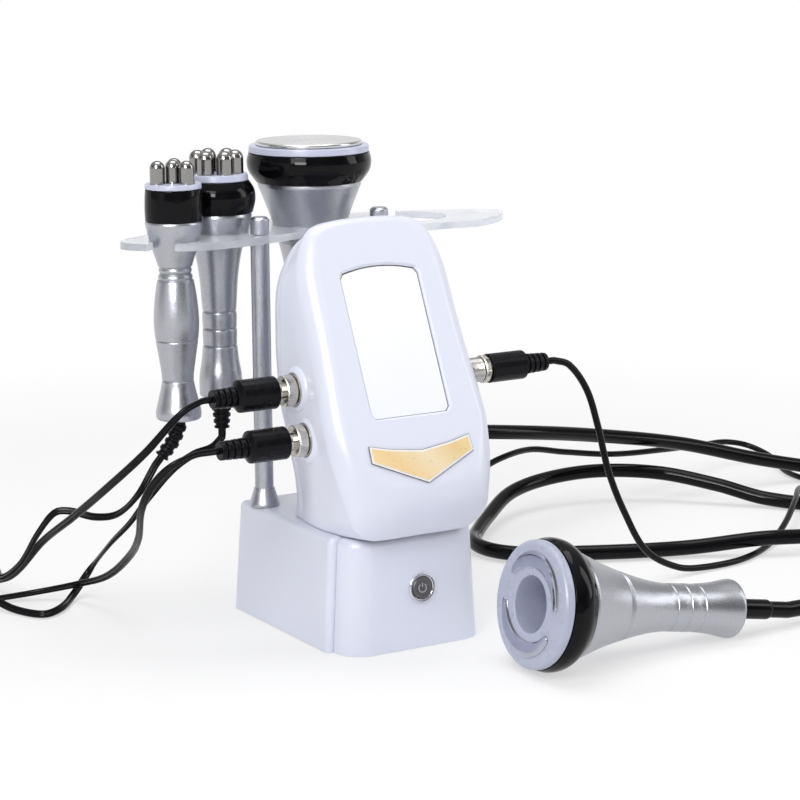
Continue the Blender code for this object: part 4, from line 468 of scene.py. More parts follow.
# Materials: colour, roughness from and to, share that the colour drifts, scale of the drift, scale and
# strength of the fine grain, how both are stretched along the axes, and the shader's other values
LOOKS = {
    "housing": dict(colour=(0.76, 0.78, 0.90), rough=(0.28, 0.29), drift=0.002, scale=18,
                    grain=(700, 0.01), coat=0.10, coat_rough=0.05),
    "inner": dict(colour=(0.62, 0.63, 0.68), rough=(0.45, 0.60), drift=0.04, scale=40, grain=(900, 0.10)),
    "rubber": dict(colour=(0.005, 0.005, 0.007), rough=(0.22, 0.34), drift=0.20, scale=120,
                   grain=(1600, 0.10), specular=0.13),
    "gloss_black": dict(colour=(0.003, 0.003, 0.004), rough=(0.03, 0.07), drift=0.10, scale=60,
                        grain=(500, 0.01), specular=0.15),
    "pale_ring": dict(colour=(0.57, 0.59, 0.74), rough=(0.26, 0.36), drift=0.02, scale=50,
                      grain=(900, 0.04)),
    # The cup is the pale rings' lavender plastic painted darker, as painted shade on the lying cup
    "cup": dict(colour=(0.44, 0.46, 0.58), rough=(0.24, 0.34), drift=0.02, scale=50, grain=(900, 0.04)),
    # The electrode strips are chrome painted darker and blue-grey, as painted shade and painted reflection
    "electrode": dict(colour=(0.44, 0.45, 0.53), rough=(0.05, 0.11), metallic=1.0, drift=0.04, scale=90,
                      grain=(600, 0.01)),
    "silver": dict(colour=(0.44, 0.45, 0.485), rough=(0.24, 0.33), metallic=0.92, drift=0.05,
                   scale=1800, grain=(3200, 0.10)),
    "chrome": dict(colour=(0.76, 0.76, 0.78), rough=(0.05, 0.13), metallic=1.0, drift=0.04, scale=90,
                   grain=(600, 0.01)),
    "steel": dict(colour=(0.30, 0.295, 0.29), rough=(0.07, 0.15), metallic=1.0, drift=0.06, scale=140,
                  grain=(900, 0.04), stretch=(1, 1, 0.05)),
    "post": dict(colour=(0.46, 0.47, 0.52), rough=(0.26, 0.38), metallic=1.0, drift=0.10, scale=1200,
                 grain=(2600, 0.16), stretch=(1, 1, 0.12)),
    "nickel": dict(colour=(0.58, 0.56, 0.52), rough=(0.14, 0.26), metallic=1.0, drift=0.06, scale=300,
                   grain=(1500, 0.05)),
    "symbol": dict(colour=(0.55, 0.55, 0.57), rough=(0.30, 0.40), drift=0.03, scale=400, grain=(2500, 0.05)),
    "button": dict(colour=(0.13, 0.125, 0.13), rough=(0.26, 0.38), metallic=0.45, drift=0.06, scale=500,
                   grain=(2500, 0.06)),
    "badge_white": dict(colour=(0.86, 0.86, 0.88), rough=(0.24, 0.34), drift=0.02, scale=200,
                        grain=(1800, 0.04), coat=0.4, coat_rough=0.05),
    "badge_line": dict(colour=(0.10, 0.08, 0.06), rough=(0.34, 0.44), drift=0.10, scale=300,
                       grain=(1800, 0.05)),
    "grey_metal": dict(colour=(0.40, 0.41, 0.43), rough=(0.26, 0.42), metallic=0.9, drift=0.08, scale=150,
                       grain=(1400, 0.08)),
    "circuit": dict(colour=(0.03, 0.16, 0.07), rough=(0.40, 0.60), drift=0.35, scale=160, grain=(900, 0.10)),
    "cord": dict(colour=(0.005, 0.005, 0.006), rough=(0.16, 0.26), drift=0.15, scale=80, grain=(1500, 0.04),
                 specular=0.13),
    "hose": dict(colour=(0.003, 0.003, 0.004), rough=(0.07, 0.14), drift=0.15, scale=60, grain=(900, 0.03),
                 specular=0.15),
}
# These four have plans of their own. The mean is the plain roughness where it isn't halfway, and the
# stops colour the screen up its height and the gold along x + z, over the span
ACRYLIC = dict(colour=(0.88, 0.90, 0.95), rough=(0.08, 0.13), mean=0.10, index=1.33, clear=0.62, scale=30)
SCREEN = dict(colour=(0.95, 0.955, 0.97), rough=(0.07, 0.13), coat=0.5, coat_rough=0.04, scale=80,
              span=(0.145, 0.235), stops=[(0.0, (0.91, 0.93, 0.97)), (0.55, (0.95, 0.955, 0.97)),
                                          (1.0, (0.98, 0.97, 0.975))])
GOLD = dict(colour=(0.90, 0.72, 0.42), rough=(0.26, 0.40), mean=0.34, metallic=0.10, scale=500,
            grain=(900, 0.02), span=(0.075, 0.170),
            stops=[(0.0, (0.97, 0.76, 0.45)), (0.30, (0.90, 0.66, 0.33)), (0.55, (0.92, 0.76, 0.52)),
                   (0.80, (0.84, 0.62, 0.30)), (1.0, (0.94, 0.72, 0.40))])
DISC = dict(colour=(0.66, 0.66, 0.68), rough=(0.14, 0.30), mean=0.20, metallic=1.0, anisotropic=0.5,
            drift=0.10, scale=3500, grain=0.05)
# Input of the shader that each of the other values goes to
SHADER_INPUTS = {"metallic": "Metallic", "specular": "Specular IOR Level", "coat": "Coat Weight",
                 "coat_rough": "Coat Roughness", "clear": "Transmission Weight", "index": "IOR",
                 "anisotropic": "Anisotropic"}
# Part of the noise that the drift spans, its detail, and the fine grain's detail and height
CLOUD_SPAN = (0.3, 0.7)
CLOUD_DETAIL = 4.0
GRAIN_DETAIL = 2.0
GRAIN_HEIGHT = 0.001

# Camera that the photograph was fitted with
CAMERA_SPOT = (-0.81064, -1.40288, 0.47055)
CAMERA_AZIMUTH = math.radians(-30.96)
CAMERA_PITCH = math.radians(11.36)
CAMERA_ROLL = math.radians(0.46)
CAMERA_LENS = 117
CAMERA_SENSOR = 36

# Light: the level of the world's plain light, its stops over height, the room's bright and dark sides by
# compass bearing, the floor's own share of white, and the lamps as name, place, aim, size, power and
# whether they light surfaces plainly or only show in their gloss
WORLD_LEVEL = 0.62
WORLD_STOPS = [(0.0, 1.0), (0.20, 1.0), (0.38, 0.38), (0.70, 0.50), (1.0, 0.9)]
STUDIO_SIDES = [(-180, 0.55), (-172, 1.0), (-156, 1.0), (-148, 0.30), (-128, 0.22), (-112, 0.30),
                (-102, 0.42), (-94, 0.42), (-84, 0.22), (-62, 0.16), (-48, 0.26), (-38, 0.70), (-26, 0.75),
                (-16, 0.35), (0, 0.45), (14, 0.95), (90, 1.0), (134, 0.95), (150, 0.30), (180, 0.55)]
STUDIO_LOW = 0.35
STUDIO_HIGH = 0.75
FLOOR_SIZE = 8
FLOOR_CELLS = 8
FLOOR_COLOUR = (0.92, 0.92, 0.93, 1)
FLOOR_GLOW = 0.55
FLOOR_NEAR = 0.52
FLOOR_FAR = 1.0
LAMPS = [
    ("key", (-1.5, -1.2, 1.6), (0, 0, 0.12), (1.1, 1.3), 27, True),
    ("fill", (1.5, -0.8, 0.9), (0, 0, 0.12), (0.6, 1.4), 8, True),
    ("top", (0.1, 0.2, 2.0), (0, 0, 0.1), (1.4, 1.2), 15, True),
    ("window", (-1.05, -1.00, 0.75), (0, 0, 0.20), (0.55, 0.42), 13, False),
]


# ---------------------------------------------------------------- outlines and profiles


def shape_mesh(builder, size, centre):
    """Adds a box of a size round its centre."""
    bmesh.ops.create_cube(builder, size=1)
    bmesh.ops.scale(builder, vec=size, verts=builder.verts)
    bmesh.ops.translate(builder, vec=centre, verts=builder.verts)


def loop_pairs(count):
    """Each number with its follower, the last with the first."""
    return [(index, (index + 1) % count) for index in range(count)]


def add_rings(builder, rings, closed=True):
    """Skins neighbouring rings of places, and gives back their vertices."""
    rows = [[builder.verts.new(place_on_ring) for place_on_ring in ring] for ring in rings]
    for low, high in zip(rows, rows[1:]):
        pairs = loop_pairs(len(low)) if closed else loop_pairs(len(low))[:-1]
        for one, two in pairs:
            builder.faces.new((low[one], low[two], high[two], high[one]))
    return rows


def curve_between(step, start, start_slope, stop, stop_slope):
    """Where a smooth curve from one place and slope to another is, at a share of its way."""
    square = step * step
    cube = square * step
    return ((2 * cube - 3 * square + 1) * start + (cube - 2 * square + step) * start_slope
            + (3 * square - 2 * cube) * stop + (cube - square) * stop_slope)


def smooth_points(points, samples):
    """A smooth curve through the points, as evenly spaced samples along its length."""
    knots = np.array(points, float)
    ends = np.vstack([2 * knots[0] - knots[1], knots, 2 * knots[-1] - knots[-2]])
    fine = []
    for before, start, stop, after in zip(ends, ends[1:], ends[2:], ends[3:]):
        pull = np.linalg.norm(stop - start)
        start_slope = pull * (stop - before) / (pull + np.linalg.norm(start - before))
        stop_slope = pull * (after - start) / (pull + np.linalg.norm(after - stop))
        fine += [curve_between(step, start, start_slope, stop, stop_slope)
                 for step in np.linspace(0, 1, ROUTE_SAMPLES, endpoint=False)]
    fine.append(knots[-1])
    fine = np.array(fine)
    lengths = np.concatenate([[0], np.cumsum(np.linalg.norm(np.diff(fine, axis=0), axis=1))])
    wanted = np.linspace(0, lengths[-1], samples)
    return np.column_stack([np.interp(wanted, lengths, fine[:, axis]) for axis in range(fine.shape[1])])


def route_length(points):
    """Length of a line through points."""
    return float(np.linalg.norm(np.diff(np.array(points), axis=0), axis=1).sum())


def mirror_outline(half):
    """A closed outline from its right half, which runs from one middle point to the other."""
    return list(half) + [(-across, along) for across, along in reversed(half[1:-1])]


def standing_box(half_width, front, back, height):
    """A box that runs a little way below the table, to be cut off level with it."""
    builder = bmesh.new()
    shape_mesh(builder, (2 * half_width, back - front, height + OVERRUN),
               (0, (front + back) / 2, (height - OVERRUN) / 2))
    return builder


def delete_faces(builder, test):
    """Deletes the faces that a test picks."""
    faces = [face for face in builder.faces if test(face)]
    bmesh.ops.delete(builder, geom=faces, context="FACES")


def rear_seat(height):
    """Where the back wall's outer face lies at a height, less the depth of a seat."""
    return BASE_BACK - BASE_DRAFT * height / BASE_HEIGHT - REAR_SEAT_DEPTH


def face_point(across, up, deep):
    """A place given on the leaning face: across it, up it and behind it."""
    sine = math.sin(FACE_LEAN)
    cosine = math.cos(FACE_LEAN)
    return Vector((across, FACE_Y + up * sine + deep * cosine, FACE_Z + up * cosine - deep * sine))


def spread(values, count):
    """Values read evenly along a smooth line through a short list, its ends kept."""
    points = [value if isinstance(value, tuple) else (value,) for value in values]
    knots = np.array(points, float)
    places = np.linspace(0, len(points) - 1, count)
    slopes = np.gradient(knots, axis=0)
    low = np.minimum(places.astype(int), len(points) - 2)
    return curve_between((places - low)[:, None], knots[low], slopes[low], knots[low + 1], slopes[low + 1])


def head_outlines():
    """The head's crease, rounding, cheek and parting outlines, as places on its right half."""
    count = HEAD_OUTLINE_STEPS
    crease = [(x * CREASE_HALF_WIDTH, s * CREASE_TOP) for x, s in spread(CREASE_SHARES, count)]
    rounding = [(x * ROUND_HALF_WIDTH, s * ROUND_TOP) for x, s in spread(ROUND_SHARES, count)]
    depths = [deep * ROUND_DEPTH for (deep,) in spread(ROUND_DEPTH_SHARES, count)]
    parting = [Vector((x * PARTING_HALF_WIDTH, 0, z * PARTING_TOP))
               for x, z in spread(PARTING_SHARES, count)]
    bulges = [share * CHEEK_BULGE for (share,) in spread(BULGE_SHARES, count)]
    return crease, rounding, depths, parting, bulges


def round_rows(crease, rounding, depths):
    """Rows that carry the flat face over its edge into the sides."""
    rows = [[face_point(x, s, 0) for x, s in crease]]
    for part in ROUND_STEP_SHARES:
        angle = part * math.pi / 2
        reach = ROUND_BLEND_SHARE * math.sin(angle) + (1 - ROUND_BLEND_SHARE) * part
        sink = ROUND_BLEND_SHARE * (1 - math.cos(angle)) + (1 - ROUND_BLEND_SHARE) * part
        rows.append([face_point(a[0] + (b[0] - a[0]) * reach, a[1] + (b[1] - a[1]) * reach, deep * sink)
                     for a, b, deep in zip(crease, rounding, depths)])
    return rows


def cheek_rows(edge, parting, bulges):
    """Rows from the rounding back to the parting plane, full at the cheeks."""
    rows = []
    for part in CHEEK_STEP_SHARES:
        row = []
        for start, stop, bulge in zip(edge, parting, bulges):
            spot = start.lerp(stop, part)
            spot.x += 4 * bulge * part * (1 - part)
            row.append(spot)
        rows.append(row)
    return rows


def face_plate(name, outline, near, far):
    """A flat piece of an outline's shape on the leaning face, between two depths."""
    return ring_solid(name, [[face_point(x, s, deep) for x, s in outline] for deep in (near, far)])


def window_outline(grow):
    """The window's outline on the face, with rounded lower corners and a crowned top."""
    half = WINDOW_HALF_WIDTH + grow
    low = WINDOW_BOTTOM - grow
    high = WINDOW_TOP + grow
    corner = WINDOW_CORNER + grow
    outline = [(half - corner, low), (half, low + corner), (half, high - corner)]
    for step in range(1, WINDOW_CROWN_STEPS):
        across = half * (1 - 2 * step / WINDOW_CROWN_STEPS)
        outline.append((across, high + WINDOW_CROWN * (1 - (across / half) ** 2)))
    outline += [(-half, high - corner), (-half, low + corner), (corner - half, low)]
    return outline


def face_rings(steps):
    """Rings of the window's outline at depths behind the face."""
    return [[face_point(x, s, deep) for x, s in window_outline(grow)] for grow, deep in steps]


def socket_profile(plan, threaded):
    """A panel socket: its bored stub, its thread if it has one, its flange and its body."""
    top = plan["stub"]
    seat = plan["seat"] + GAP
    flange = SOCKET_FLANGE_FACE
    rear = seat - SOCKET_BODY_LENGTH
    profile = [(SOCKET_BORE_RADIUS, top), (STUB_RADIUS, top)]
    if threaded:
        profile += [(STUB_RADIUS, THREAD_END), (THREAD_RADIUS, THREAD_END), (THREAD_RADIUS, flange)]
    else:
        profile += [(STUB_RADIUS, flange)]
    profile += [(SOCKET_FLANGE_RADIUS, flange), (SOCKET_FLANGE_RADIUS, seat), (SOCKET_BODY_RADIUS, seat),
                (SOCKET_BODY_RADIUS, rear), (0, rear), (0, top - SOCKET_BORE_DEPTH),
                (SOCKET_BORE_RADIUS, top - SOCKET_BORE_DEPTH)]
    return profile


def opening_profile(plan):
    """A cut for the socket: a flat seat for its flange and a hole for its body."""
    outside = SOCKET_FLANGE_FACE + OVERRUN
    inside = plan["seat"] - SOCKET_BODY_LENGTH
    seat_radius = SOCKET_FLANGE_RADIUS + GAP
    body_radius = SOCKET_BODY_RADIUS + GAP
    return [(0, outside), (seat_radius, outside), (seat_radius, plan["seat"]),
            (body_radius, plan["seat"]), (body_radius, inside), (0, inside)]


def plug_profile(plan):
    """Moulded body with a shoulder, then a boot with grooves between its ribs."""
    start = plan["neck_end"] + GAP
    body_end = plan["body_end"]
    boot = plan["boot_end"] - body_end
    pitch = boot / BOOT_RIBS
    profile = [(0, start), (plan["body_radius"], start), (plan["body_radius"], body_end - PLUG_SHOULDER),
               (plan["boot_radius"], body_end)]
    for rib in range(BOOT_RIBS):
        share = rib / BOOT_RIBS
        radius = plan["boot_radius"] + share * (plan["tip_radius"] - plan["boot_radius"])
        begin = body_end + rib * pitch
        profile += [(radius - deep * BOOT_GROOVE_DEPTH, begin + place * pitch)
                    for place, deep in BOOT_GROOVE_SHARES]
    profile += [(plan["tip_radius"], plan["boot_end"]), (0, plan["boot_end"])]
    return list(reversed(profile))


def handle_profile(name, swaps=()):
    """Outer profile of a handle, from its top down; some radius shares may be swapped for others."""
    swaps = dict(swaps)
    plan = HANDPIECES[name]
    tall = plan["top"] - plan["bottom"]
    return [(swaps.get(radius, radius) * plan["radius"], plan["bottom"] + height * tall)
            for radius, height in HANDLE_SHARES[name]]


def hole_radius(name):
    """The tray's hole just clears the cone that rests in it."""
    profile = handle_profile(name)
    heights = [height for radius, height in reversed(profile)]
    radii = [radius for radius, height in reversed(profile)]
    return float(np.interp(TRAY_TOP, heights, radii)) + TRAY_HOLE_CLEARANCE


def band_profile(name, bore):
    """The black band above a handle, solid or with a bore."""
    plan = BANDS[name]
    low = HANDPIECES[name]["top"] + GAP
    high = HANDPIECES[name]["top"] + plan["height"]
    outer = [(radius, high - share * (high - low))
             for radius, share in zip(plan["radii"], BAND_STEP_SHARES)]
    return [(bore, high)] + outer + [(bore, low)]


def dome_places(plan):
    """Centres of the dome electrodes: evenly round a circle, and one in the middle if asked for."""
    turns = [plan["first"] + 360 * number / plan["count"] for number in range(plan["count"])]
    places = [(plan["circle"] * math.cos(math.radians(turn)), plan["circle"] * math.sin(math.radians(turn)))
              for turn in turns]
    return places + [(0, 0)] if plan["middle"] else places


def relief_points(plan, top_x, top_y, top_z):
    """Centre line of a strain relief: straight down first, then drifting to its side."""
    straight = plan["straight"]
    knots = [(top_x, top_y, top_z), (top_x, top_y, top_z - straight / 2),
             (top_x, top_y, top_z - straight)]
    across, along = plan["drift"]
    for part in (0.5, 1):
        lean = part ** RELIEF_LEAN
        knots.append((top_x + across * lean, top_y + along * lean,
                      top_z - straight - part * (plan["drop"] - straight)))
    return smooth_points(knots, RELIEF_POINTS * RELIEF_RIBS + 1)


def vacuum_face_height():
    """Height of the cup's rim on the vacuum handpiece's own axis."""
    return HANDPIECES["vacuum"]["top"] + BANDS["vacuum"]["height"] + CUP_RIM_HEIGHT


def vacuum_contact():
    """What the lying handpiece rests on: the slope from its foot up to a ring of its band, that ring's
    radius and its distance behind the face."""
    face = vacuum_face_height()
    handle = handle_profile("vacuum")
    flare = max(handle[len(handle) // 2:], key=lambda corner: corner[0])
    return max(((radius - flare[0]) / (height - flare[1]), radius, face - height)
               for radius, height in band_profile("vacuum", 0)[1:-1])


def vacuum_frame():
    """Places the vacuum handpiece on the table; +Z runs out of its cup."""
    slope, radius, behind = vacuum_contact()
    tilt = math.atan(slope)
    lift = (radius + behind * slope) * math.cos(tilt) + GAP
    turn = (Matrix.Rotation(VACUUM_YAW, 4, "Z") @ Matrix.Rotation(math.radians(-90) + tilt, 4, "Y"))
    spot = Matrix.Translation((VACUUM_FACE_X, VACUUM_FACE_Y, lift))
    return spot @ turn @ Matrix.Translation((0, 0, -vacuum_face_height()))


def crescent(side):
    """Outer and inner edge of an electrode strip along its arc, with rounded ends."""
    reach = CRESCENT_RADIUS * CRESCENT_HALF_ANGLE
    cap = CRESCENT_WIDTH / 2 * CRESCENT_END_SHARE
    ends = [cap * (1 - math.cos(math.radians(step))) for step in CRESCENT_CAP_STEPS]
    middle = np.linspace(-reach + cap, reach - cap, CRESCENT_STEPS)[1:-1]
    places = [end - reach for end in ends] + list(middle) + [reach - end for end in reversed(ends)]
    rows = []
    for place in places:
        fullness = CRESCENT_END_SHARE + (1 - CRESCENT_END_SHARE) * math.cos(math.pi / 2 * place / reach)
        close = max(0, 1 - (reach - abs(place)) / cap)
        half = CRESCENT_WIDTH / 2 * fullness * math.sqrt(1 - close ** 2)
        angle = place / CRESCENT_RADIUS + side * CRESCENT_TURN
        direction = np.array((side * math.cos(angle), math.sin(angle)))
        rows.append([(CRESCENT_RADIUS + half) * direction, (CRESCENT_RADIUS - half) * direction])
    return rows


def lead_in(end, heading, radius):
    """First points of a cord that leaves an end face: a small gap, then straight on."""
    start = np.array(end) + GAP * np.array(heading)
    return [start + 2 * radius * step * np.array(heading) for step in LEAD_STEP_SHARES]


def coil_points(plan):
    """Turns of a coil one above the other, with a straight diameter at both ends."""
    angles = [math.radians(plan["first"]) + plan["turn"] * 2 * math.pi * number / COIL_POINTS
              for number in range(int(COIL_TURNS * COIL_POINTS) + 1)]
    points = [(plan["x"] + COIL_RADIUS * math.cos(angle), plan["y"] + COIL_RADIUS * math.sin(angle),
               COIL_LIFT + LIMP_RADIUS + COIL_PITCH * number / COIL_POINTS)
              for number, angle in enumerate(angles)]
    ways = [plan["turn"] * np.array((-math.sin(angle), math.cos(angle), 0))
            for angle in (angles[0], angles[-1])]
    points.insert(0, tuple(np.array(points[0]) - 2 * LIMP_RADIUS * ways[0]))
    points.append(tuple(np.array(points[-1]) + 2 * LIMP_RADIUS * ways[1]))
    return points, ways


def plug_end(name):
    """Where a cord leaves its plug, and which way."""
    plan = CONNECTORS[name]
    reach = ROUND_HALF_WIDTH + plan["boot_end"]
    return (plan["side"] * reach, plan["y"], plan["z"]), (plan["side"], 0, 0)


# ---------------------------------------------------------------- materials


def add_node(tree, kind, inputs=None, **settings):
    """A shader node. Each of its inputs is given another node's output or a plain value."""
    node = tree.nodes.new(kind)
    for name, value in settings.items():
        setattr(node, name, value)
    for name, value in (inputs or {}).items():
        if isinstance(value, bpy.types.NodeSocket):
            tree.links.new(value, node.inputs[name])
        else:
            node.inputs[name].default_value = value
    return node


def calculate(tree, operation, *values):
    """The result of one step of arithmetic."""
    return add_node(tree, "ShaderNodeMath", dict(enumerate(values)), operation=operation).outputs["Value"]


def map_range(tree, source, old, new=(0.0, 1.0), ease="LINEAR"):
    """A value carried over from an old span to a new one."""
    inputs = {"Value": source, "From Min": old[0], "From Max": old[1], "To Min": new[0], "To Max": new[1]}
    return add_node(tree, "ShaderNodeMapRange", inputs, interpolation_type=ease).outputs["Result"]


def colour_ramp(tree, source, stops, ease="LINEAR"):
    """A colour ramp over a value: stops are (place, colour)."""
    ramp = add_node(tree, "ShaderNodeValToRGB", {"Fac": source})
    ramp.color_ramp.interpolation = ease
    entries = ramp.color_ramp.elements
    while len(entries) < len(stops):
        entries.new(0.5)
    for entry, (place, colour) in zip(entries, stops):
        entry.position = place
        entry.color = (*colour, 1)
    return ramp.outputs["Color"]


class Look:
    """One material made to a plan, whose nodes are added step by step."""

    def __init__(self, name, plan):
        self.material = bpy.data.materials.new(name)
        self.material.use_nodes = True
        self.tree = self.material.node_tree
        self.shader = self.tree.nodes["Principled BSDF"]
        self.plan = plan
        values = {socket: plan[key] for key, socket in SHADER_INPUTS.items() if key in plan}
        values["Base Color"] = (*plan["colour"], 1)
        values["Roughness"] = plan.get("mean", sum(plan["rough"]) / 2)
        for socket, value in values.items():
            self.shader.inputs[socket].default_value = value
        self.places = add_node(self.tree, "ShaderNodeTexCoord").outputs["Object"]

    def feed(self, socket, source):
        """Links a value to one of the shader's inputs."""
        self.tree.links.new(source, self.shader.inputs[socket])

    def noise(self, scale, detail=CLOUD_DETAIL):
        """Noise over the piece's own coordinates, stretched along an axis where the plan asks for it."""
        spot = add_node(self.tree, "ShaderNodeMapping",
                        {"Vector": self.places, "Scale": self.plan.get("stretch", (1, 1, 1))})
        inputs = {"Vector": spot.outputs["Vector"], "Scale": scale, "Detail": detail}
        return add_node(self.tree, "ShaderNodeTexNoise", inputs).outputs["Fac"]

    def drift_colour(self, source):
        """Lets the colour drift both ways by the plan's share."""
        share = self.plan["drift"]
        dark = tuple(part * (1 - share) for part in self.plan["colour"])
        light = tuple(min(1.0, part * (1 + share)) for part in self.plan["colour"])
        self.feed("Base Color", colour_ramp(self.tree, source, list(zip(CLOUD_SPAN, (dark, light)))))

    def drift_roughness(self, source):
        """Lets the roughness drift between the plan's two values."""
        self.feed("Roughness", map_range(self.tree, source, CLOUD_SPAN, self.plan["rough"]))

    def grain(self, source, strength):
        """Gives the surface a fine grain."""
        inputs = {"Strength": strength, "Distance": GRAIN_HEIGHT, "Height": source}
        self.feed("Normal", add_node(self.tree, "ShaderNodeBump", inputs).outputs["Normal"])

    def axes(self):
        """The piece's own coordinates, one by one."""
        return add_node(self.tree, "ShaderNodeSeparateXYZ", {"Vector": self.places}).outputs

    def sweep_colour(self, source):
        """The plan's colours in turn, over its span of a coordinate."""
        place = map_range(self.tree, source, self.plan["span"])
        self.feed("Base Color", colour_ramp(self.tree, place, self.plan["stops"]))


def plain_look(name):
    """A material of the table: colour and roughness drift, with a fine grain."""
    plan = LOOKS[name]
    look = Look(name, plan)
    look.drift_colour(look.noise(plan["scale"]))
    look.drift_roughness(look.noise(2 * plan["scale"]))
    scale, strength = plan["grain"]
    look.grain(look.noise(scale, GRAIN_DETAIL), strength)
    return look.material


def acrylic_look():
    """Clear cast acrylic with a faint milky haze."""
    look = Look("acrylic", ACRYLIC)
    look.drift_roughness(look.noise(ACRYLIC["scale"]))
    return look.material


def screen_look():
    """The blank screen: white, a little bluer towards its foot."""
    look = Look("screen", SCREEN)
    look.sweep_colour(look.axes()["Z"])
    look.drift_roughness(look.noise(SCREEN["scale"]))
    return look.material


def gold_look():
    """Gold foil, paler and darker in bands along a slanting sweep."""
    look = Look("gold", GOLD)
    axes = look.axes()
    look.sweep_colour(calculate(look.tree, "ADD", axes["X"], axes["Z"]))
    look.drift_roughness(look.noise(GOLD["scale"]))
    scale, strength = GOLD["grain"]
    look.grain(look.noise(scale), strength)
    return look.material


def disc_look():
    """Steel turned on a lathe: fine rings round its axis."""
    look = Look("turned_disc", DISC)
    flat = add_node(look.tree, "ShaderNodeVectorMath", {0: look.places, 1: (1, 1, 0)}, operation="MULTIPLY")
    reach = add_node(look.tree, "ShaderNodeVectorMath", {0: flat.outputs["Vector"]}, operation="LENGTH")
    inputs = {"W": reach.outputs["Value"], "Scale": DISC["scale"]}
    rings = add_node(look.tree, "ShaderNodeTexNoise", inputs, noise_dimensions="1D").outputs["Fac"]
    look.drift_colour(rings)
    look.drift_roughness(rings)
    look.grain(rings, DISC["grain"])
    return look.material


def make_looks():
    """All materials by their names."""
    looks = {name: plain_look(name) for name in LOOKS}
    looks.update(acrylic=acrylic_look(), screen=screen_look(), gold=gold_look(), disc=disc_look())
    return looks


# ---------------------------------------------------------------- building pieces


def place_object(name, data, matrix=None):
    """Puts an object with its data into the scene, standing at the matrix."""
    thing = bpy.data.objects.new(name, data)
    bpy.context.scene.collection.objects.link(thing)
    if matrix is not None:
        thing.matrix_world = matrix
    return thing


def add_object(name, builder, matrix=None, turned_out=False):
    """An object from a bmesh, standing at the matrix. Its faces may be turned outwards already."""
    mesh = bpy.data.meshes.new(name)
    if not turned_out:
        bmesh.ops.recalc_face_normals(builder, faces=builder.faces)
    builder.to_mesh(mesh)
    builder.free()
    return place_object(name, mesh, matrix)


def add_bevel(thing, width, segments=BEVEL_STEPS, limit=BEVEL_ANGLE):
    """Rounds a piece's edges."""
    bevel = thing.modifiers.new("rounded_edges", "BEVEL")
    bevel.width = width
    bevel.segments = segments
    bevel.limit_method = "ANGLE"
    bevel.angle_limit = math.radians(limit)


def add_shell(thing, wall):
    """Gives a skin its wall, on the inside."""
    shell = thing.modifiers.new("wall", "SOLIDIFY")
    shell.thickness = wall
    shell.offset = -1
    shell.use_even_offset = True


def bake(thing):
    """Applies a piece's modifiers to its mesh."""
    bpy.context.view_layer.update()
    graph = bpy.context.evaluated_depsgraph_get()
    mesh = bpy.data.meshes.new_from_object(thing.evaluated_get(graph))
    thing.modifiers.clear()
    thing.data = mesh


def cut_away(thing, *cutters):
    """Cuts the cutters out of a piece, applies that and deletes the cutters."""
    for cutter in cutters:
        cut = thing.modifiers.new("cut", "BOOLEAN")
        cut.object = cutter
        cut.operation = "DIFFERENCE"
    bake(thing)
    for cutter in cutters:
        bpy.data.objects.remove(cutter, do_unlink=True)


def dress(thing, look, body, nodes=(), sharp=SHARP):
    """Shades a finished piece, gives it its material and has it move with a body."""
    bake(thing)
    mesh = thing.data
    if thing.matrix_world.to_quaternion().angle > MERGE:
        mesh.transform(thing.matrix_world)
        thing.matrix_world = Matrix.Identity(4)
    mesh.shade_smooth()
    mesh.set_sharp_from_angle(angle=math.radians(sharp))
    weigh = thing.modifiers.new("weighted_normals", "WEIGHTED_NORMAL")
    weigh.keep_sharp = True
    weigh.weight = NORMAL_WEIGHT
    mesh.materials.clear()
    mesh.materials.append(MATERIALS[look])
    if body is not None:
        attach(thing, body)
    if nodes:
        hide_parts(*nodes)
    return thing


def box_piece(name, size, centre, matrix=None):
    """A box as a piece of its own."""
    builder = bmesh.new()
    shape_mesh(builder, size, centre)
    return add_object(name, builder, matrix)


def rounded_profile(profile, reach):
    """The profile with its corners rounded as far as both sides leave room."""
    points = [np.array(corner, float) for corner in profile]
    closed = profile[0][0] > 0
    line = [] if closed else [points[0]]
    count = len(points)
    for number in range(count):
        if not closed and number in (0, count - 1):
            continue
        corner = points[number]
        before = points[number - 1] - corner
        after = points[(number + 1) % count] - corner
        sides = np.linalg.norm(before), np.linalg.norm(after)
        cut = min(reach, CORNER_CUT_SHARE * min(sides))
        start = corner + before / sides[0] * cut
        stop = corner + after / sides[1] * cut
        for share in np.linspace(0, 1, ARC_STEPS + 1):
            line.append((1 - share) ** 2 * start + 2 * share * (1 - share) * corner + share ** 2 * stop)
    return line if closed else line + [points[-1]]


def turned(name, profile, matrix, reach=EDGE_ROUND, steps=ROUND_STEPS, ripple=None):
    """A turned piece with rounded edges. Its profile (radius, height) runs from the top down its outer
    side. A ripple (count, depth, low, high, least radius) flutes its outside between two heights."""
    count, deep, start, stop, least = ripple or (0, 0, 0, 0, 0)
    line = rounded_profile(profile, reach) if reach else [np.array(corner) for corner in profile]
    builder = bmesh.new()
    rows = []
    for radius, height in line:
        if radius < MERGE:
            rows.append([builder.verts.new((0, 0, height))])
            continue
        row = []
        for step in range(steps):
            angle = 2 * math.pi * step / steps
            out = radius
            if start < height < stop and radius > least:
                out -= deep * (0.5 - 0.5 * math.cos(count * angle))
            row.append(builder.verts.new((out * math.cos(angle), out * math.sin(angle), height)))
        rows.append(row)
    pairs = list(zip(rows, rows[1:]))
    if profile[0][0] > 0:
        pairs.append((rows[-1], rows[0]))
    for high, low in pairs:
        join_rows(builder, high, low, steps)
    return add_object(name, builder, matrix)


def drill(name, radius, high, low, matrix, steps=ROUND_STEPS):
    """A round cutter between two heights."""
    return turned(name, [(0, high), (radius, high), (radius, low), (0, low)], matrix, 0, steps)


